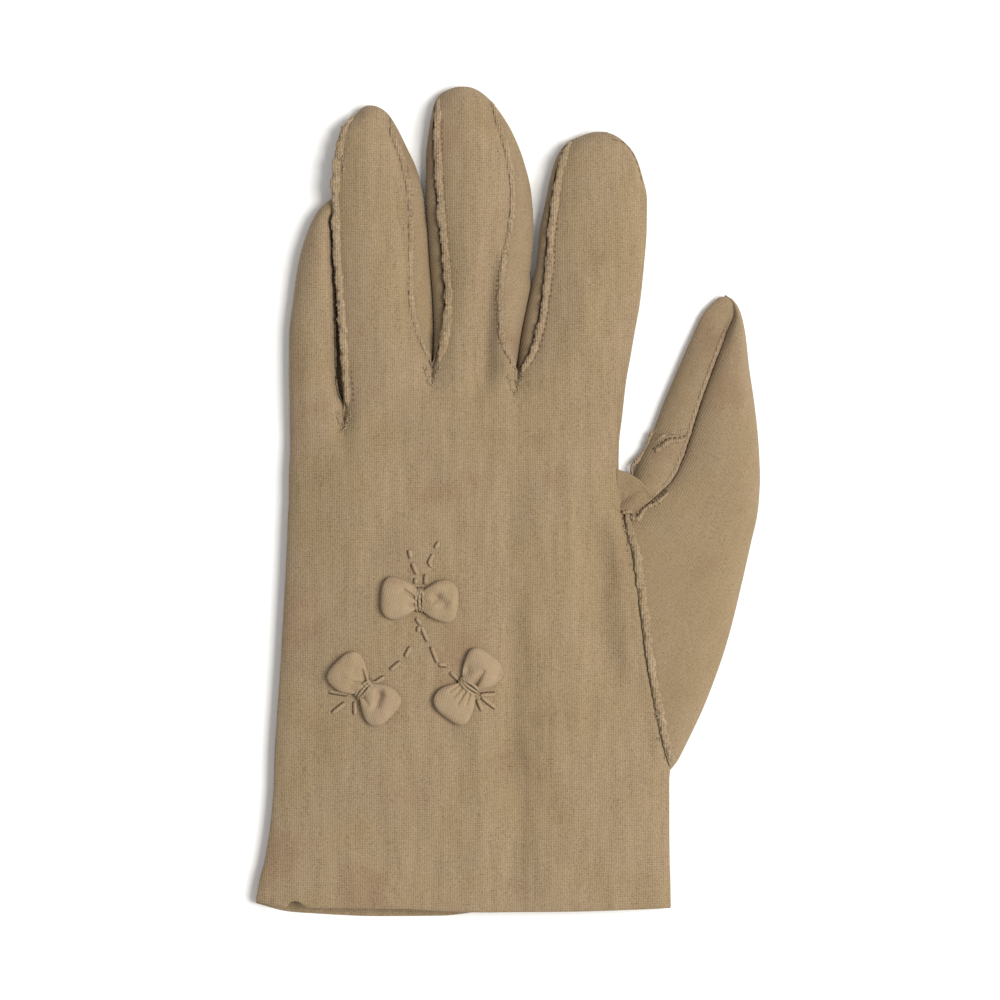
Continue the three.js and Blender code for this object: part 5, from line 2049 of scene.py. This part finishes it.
@dataclass
class Bow:
    """A padded bow: two pillow-like lobes gathered under a few wraps of thread."""

    name: str
    along: float
    across: float
    turn: float
    creases_a: tuple[Crease, ...] = ()
    creases_b: tuple[Crease, ...] = ()
    lobe_length: float = 9.9
    lobe_width: float = 11.6
    lobe_height: float = 2.8
    knot_length: float = 7.0
    knot_width: float = 2.6
    squareness: float = 4.0
    seed: int = 1

    @property
    def middle(self) -> Array:
        """The knot's place on the back."""
        x, y = self.across * HAND.knuckle_width, self.along * HAND.length
        return np.array([x, y, float(relaxed(np.array(x), np.array(y)))])

    def seat(self, local: Array, degrees: float) -> Array:
        """Turns points about the knot and lays them on the back.

        Args:
            local: Places with x across the lobe, y out from the knot and z up from the cloth.
            degrees: The turn about the knot.

        Returns:
            Places in the pattern's frame.
        """
        angle = math.radians(degrees)
        x, y = local[..., 0], local[..., 1]
        placed_x = self.middle[0] + x * math.cos(angle) - y * math.sin(angle)
        placed_y = self.middle[1] + x * math.sin(angle) + y * math.cos(angle)
        return np.stack([placed_x, placed_y, relaxed(placed_x, placed_y) + local[..., 2]], -1)

    def angles(self, upper: int, lower: int) -> Array:
        """Angles round a lobe that lie evenly across its flat top and bottom and closer at its sides.

        Args:
            upper: How many lie on its top.
            lower: How many lie below.

        Returns:
            The angles, in radians.
        """
        halves = []
        for count, start in ((upper, 0.0), (lower, np.pi)):
            even = np.linspace(1, -1, count, endpoint=False)
            share = 0.35 * np.sin(even * np.pi / 2) + 0.65 * even
            halves.append(start + np.arccos(np.sign(share) * np.abs(share) ** (1 / 0.62)))
        return np.concatenate(halves)

    def lobe(self, which: str, degrees: float, creases: tuple[Crease, ...]) -> bpy.types.Object:
        """Builds one lobe.

        Args:
            which: Its letter.
            degrees: Its direction.
            creases: Its creases and dents.

        Returns:
            The piece.
        """
        rings = 64
        u = np.linspace(0, 1, rings)[:, None]
        angle = self.angles(76, 26)[None, :]
        sides = angle.shape[1]
        reach = np.clip((u - 0.5) / 0.5, 0, 1)
        wide = (0.42 + 0.58 * (1 - (1 - np.clip(u / 0.74, 0, 1)) ** 2.2)) * (
            1 - reach ** self.squareness
        ) ** 0.42
        tall = (0.5 + 0.5 * smoothstep(u / 0.45)) * (1 - reach ** 7) ** 0.5
        wide, tall = np.maximum(wide, 0.01), np.maximum(tall, 0.01)
        cosine, sine = np.cos(angle), np.sin(angle)
        across = np.sign(cosine) * np.abs(cosine) ** 0.62
        rise = np.sign(sine) * np.abs(sine) ** 0.62
        half = self.lobe_width / 2
        x = across * wide * half
        y = self.knot_width / 2 * 0.45 + u * self.lobe_length + 0 * angle
        wobble = 1 + 0.035 * np.sin(2.0 * u * np.pi + self.seed * 1.7) * np.sign(cosine)
        x = x * wobble
        z = rise * tall * self.lobe_height / 2
        upper = np.clip(sine * 1.6, 0, 1)
        for crease in creases:
            ax, ay = crease.start[1] * half, crease.start[0] * self.lobe_length
            bx, by = crease.end[1] * half, crease.end[0] * self.lobe_length
            px, py = x, u * self.lobe_length
            run = max((bx - ax) ** 2 + (by - ay) ** 2, 1e-6)
            t = np.clip(((px - ax) * (bx - ax) + (py - ay) * (by - ay)) / run, 0, 1)
            off = np.hypot(px - ax - t * (bx - ax), py - ay - t * (by - ay))
            z = z - 1.8 * crease.depth * np.exp(-((off / crease.width) ** 2)) * upper * (1 - 0.45 * t)
        v = x / half
        z = z + 0.45 * (1 - v ** 2) * (1 - (2 * u - 1) ** 4) * upper
        z = z + 0.3 * np.sin(8.5 * v + self.seed) * (1 - u) ** 3.0 * upper
        z = z + 0.1 * lattice_noise(x + 40 * self.seed, y, 1.8, 50 + self.seed) * upper
        z = np.maximum(z + self.lobe_height / 2 * 0.82, -0.15)
        shell = Shell()
        shell.grid(self.seat(np.stack([x + 0 * y, y, z], -1), degrees), around=True)
        shell.close_ends(rings, sides)
        return shell.piece(f"bow_{self.name}_lobe_{which}_cloth")

    def knot(self) -> bpy.types.Object:
        """Builds the wraps of thread over the pinch.

        Returns:
            The piece.
        """
        shell = Shell()
        for k, shift in enumerate((-0.95, 0.0, 0.95)):
            t = np.linspace(-1, 1, 26)
            x = t * self.knot_length / 2 * (1.0, 0.92, 0.97)[k]
            y = shift * (1 - 0.45 * t ** 2) + 0.15 * np.sin(3 * t + k)
            z = 1.75 * (1 - np.abs(t) ** 3.4) ** 0.5 - 0.1 + 0.1 * (k == 1)
            shell.tube(self.seat(np.stack([x, y, z], -1), self.turn + 90.0), 0.44, sides=12)
        return shell.piece(f"bow_{self.name}_knot_thread")

    def dress(self, finishes: Finishes) -> None:
        """Builds and finishes the bow's pieces.

        Args:
            finishes: The glove's materials.
        """
        lobe_a = self.lobe("a", self.turn + 90.0, self.creases_a)
        lobe_b = self.lobe("b", self.turn - 90.0, self.creases_b)
        for letter, piece in (("a", lobe_a), ("b", lobe_b)):
            dress(piece, finishes.lobe, [f"bow_{self.name}_lobe_{letter}"])
        dress(self.knot(), finishes.thread, [f"bow_{self.name}_knot"])


def make_bows() -> list[Bow]:
    """The three bows on the back."""
    return [
        Bow(
            "top", 0.611, -0.115, -4.0, seed=1,
            creases_a=(
                Crease((0.0, 0.0), (0.38, 0.4), 0.75, 0.42), Crease((0.0, -0.2), (0.2, -0.3), 0.35, 0.4)
            ),
            creases_b=(
                Crease((0.42, -0.12), (0.6, 0.1), 1.0, 1.25), Crease((0.0, 0.05), (0.3, 0.1), 0.4, 0.5)
            ),
        ),
        Bow(
            "left", 0.434, -0.278, -44.0, seed=2,
            creases_a=(
                Crease((0.0, 0.2), (0.34, 0.56), 0.7, 0.4), Crease((0.03, 0.21), (0.27, -0.14), 0.55, 0.38)
            ),
            creases_b=(Crease((0.36, -0.3), (0.48, 0.1), 1.0, 1.1), Crease((0.0, 0.3), (0.3, 0.4), 0.4, 0.5)),
        ),
        Bow(
            "right", 0.439, 0.029, 52.0, seed=3,
            creases_a=(
                Crease((0.0, -0.2), (0.36, -0.42), 0.4, 0.35),
                Crease((0.0, 0.0), (0.5, -0.08), 0.35, 0.35),
                Crease((0.0, 0.2), (0.42, 0.26), 0.35, 0.35),
                Crease((0.0, 0.35), (0.35, 0.55), 0.35, 0.35),
            ),
            creases_b=(Crease((0.1, 0.2), (0.5, 0.1), 0.75, 0.6), Crease((0.3, -0.5), (0.4, -0.3), 0.6, 1.5)),
        ),
    ]


@dataclass
class StemStitches:
    """The long stitches that stand as stems between and above the bows, each a raised tuck with its thread, which
    lies on the tuck's left and is darkened partly as painted shade of that side.
    """

    stems: tuple[tuple[tuple[float, float], ...], ...] = (
        ((415, 617), (420, 624)),
        ((418, 625), (417, 631)),
        ((410, 645), (404, 656)),
        ((400, 660), (389, 669)),
        ((384, 675), (370, 684)),
        ((420, 625), (427, 641)),
        ((430, 645), (436.5, 662)),
        ((438, 664), (446, 665)),
        ((449, 671), (458, 680)),
        ((408, 549), (410, 558)),
        ((411, 562), (416, 574)),
        ((415, 577), (414, 583)),
        ((438, 541), (434, 548)),
        ((432, 553), (428, 562), (431, 567)),
        ((425, 573), (424, 584)),
        ((328, 691), (348, 694)),
        ((331, 712), (345, 701)),
        ((354, 700), (354, 714)),
        ((479, 693), (495, 692)),
        ((480, 696), (495, 708)),
        ((476, 698), (481, 710)),
    )

    def dress(self, finishes: Finishes) -> None:
        """Builds and finishes the tucks and their threads.

        Args:
            finishes: The glove's materials.
        """
        tucks, threads = Shell(), Shell()
        for stem in self.stems:
            ends = np.array([PICTURE.place(*point) for point in stem])
            reach = reaches(ends)
            s = np.linspace(0, reach[-1], 14)
            x, y = np.interp(s, reach, ends[:, 0]), np.interp(s, reach, ends[:, 1])
            top = relaxed(x, y)
            run = ends[-1] - ends[0]
            run = run / np.linalg.norm(run)
            side = np.array([-run[1], run[0]])
            side = side if side[0] < 0 or (side[0] == 0 and side[1] < 0) else -side
            tucks.tube(np.stack([x - side[0] * 0.3, y - side[1] * 0.3, top + 0.06], -1), 0.56, sides=10)
            # The dark thread lies on the tuck's left, where the shade falls; its darkness there is partly painted
            # shade.
            threads.tube(np.stack([x + side[0] * 0.25, y + side[1] * 0.25, top - 0.05], -1), 0.33, sides=8)
        dress(tucks.piece("stem_tucks"), finishes.lobe)
        dress(threads.piece("stem_threads"), finishes.dark_thread)


@dataclass
class Studio:
    """The pale floor, the soft lights and the camera that looks straight down."""

    lens_mm: float = 180.0
    sensor_mm: float = 36.0
    frame_width_m: float = 0.27
    aim: tuple[float, float, float] = (-0.0018, 0.0005, 0.005)

    def camera(self) -> None:
        """Makes the camera, from straight above, so far off that the frame is as wide as the photograph's."""
        data = bpy.data.cameras.new("camera")
        data.lens, data.sensor_width = self.lens_mm, self.sensor_mm
        data.clip_start, data.clip_end = 0.01, 20
        distance = self.frame_width_m * self.lens_mm / self.sensor_mm
        eye = bpy.data.objects.new("camera", data)
        eye.location = Vector(self.aim) + Vector((0, 0, distance))
        bpy.context.scene.collection.objects.link(eye)
        bpy.context.scene.camera = eye

    def floor(self) -> None:
        """Makes the sheet of paper that the glove lies on."""
        mesh = bpy.data.meshes.new("paper")
        half = 2.0
        corners = [(x * half, y * half, -0.0003) for x, y in ((-1, -1), (1, -1), (1, 1), (-1, 1))]
        mesh.from_pydata(corners, [], [(0, 1, 2, 3)])
        paper = bpy.data.objects.new("paper", mesh)
        paper.data.materials.append(PaperFinish().material())
        bpy.context.scene.collection.objects.link(paper)

    def area_light(
        self, name: str, place: tuple[float, float, float], size: float, watts: float, tint: str
    ) -> None:
        """Makes a soft light that looks at the glove.

        Args:
            name: Its name.
            place: Where it stands, in metres.
            size: The width of its face, in metres.
            watts: Its power.
            tint: Its colour as sRGB hex.
        """
        data = bpy.data.lights.new(name, "AREA")
        data.size, data.energy, data.color = size, watts, linear(tint)[:3]
        lamp = bpy.data.objects.new(name, data)
        lamp.location = place
        lamp.rotation_euler = (-Vector(place)).to_track_quat("-Z", "Y").to_euler()
        bpy.context.scene.collection.objects.link(lamp)

    def build(self) -> None:
        """Builds the studio."""
        self.camera()
        self.floor()
        world = bpy.data.worlds.new("room")
        world.use_nodes = True
        world.node_tree.nodes["Background"].inputs["Color"].default_value = linear("#FFFFFF")
        world.node_tree.nodes["Background"].inputs["Strength"].default_value = 0.5
        bpy.context.scene.world = world
        bpy.context.scene.view_settings.view_transform = "Standard"
        self.area_light("key", (1.55, 0.0, 2.45), 1.4, 92.0, "#FFFDF8")


def main() -> None:
    """Builds the glove piece by piece in the studio."""
    logging.basicConfig(level=logging.INFO, format="%(message)s")
    Studio().build()
    finishes = Finishes.make()
    PalmPanel().dress(finishes)
    BackPanel().dress(finishes)
    for crotch in CROTCHES:
        touch_y = {RING.name: 187.0, MIDDLE.name: 172.0}.get(crotch.left.name, 0.0)
        Fork(crotch, touch_y=touch_y, hidden_left=crotch.left is LITTLE).dress(finishes)
    Thumb().dress(finishes)
    ground = Ground(
        [
            piece for piece in bpy.data.objects if piece.name.endswith("cloth") or piece.name.startswith(
                "fork_cloth"
            )
        ]
    )
    for welt in make_welts():
        welt.dress(finishes)
    for bow in make_bows():
        bow.dress(finishes)
    StemStitches().dress(finishes)
    SeamStitches(ground).dress(finishes)
    ThumbSeamRolls(ground).dress(finishes)
    Tufts(ground).dress(finishes)
    LOG.info("glove built")
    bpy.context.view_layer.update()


if __name__ == "__main__":
    main()
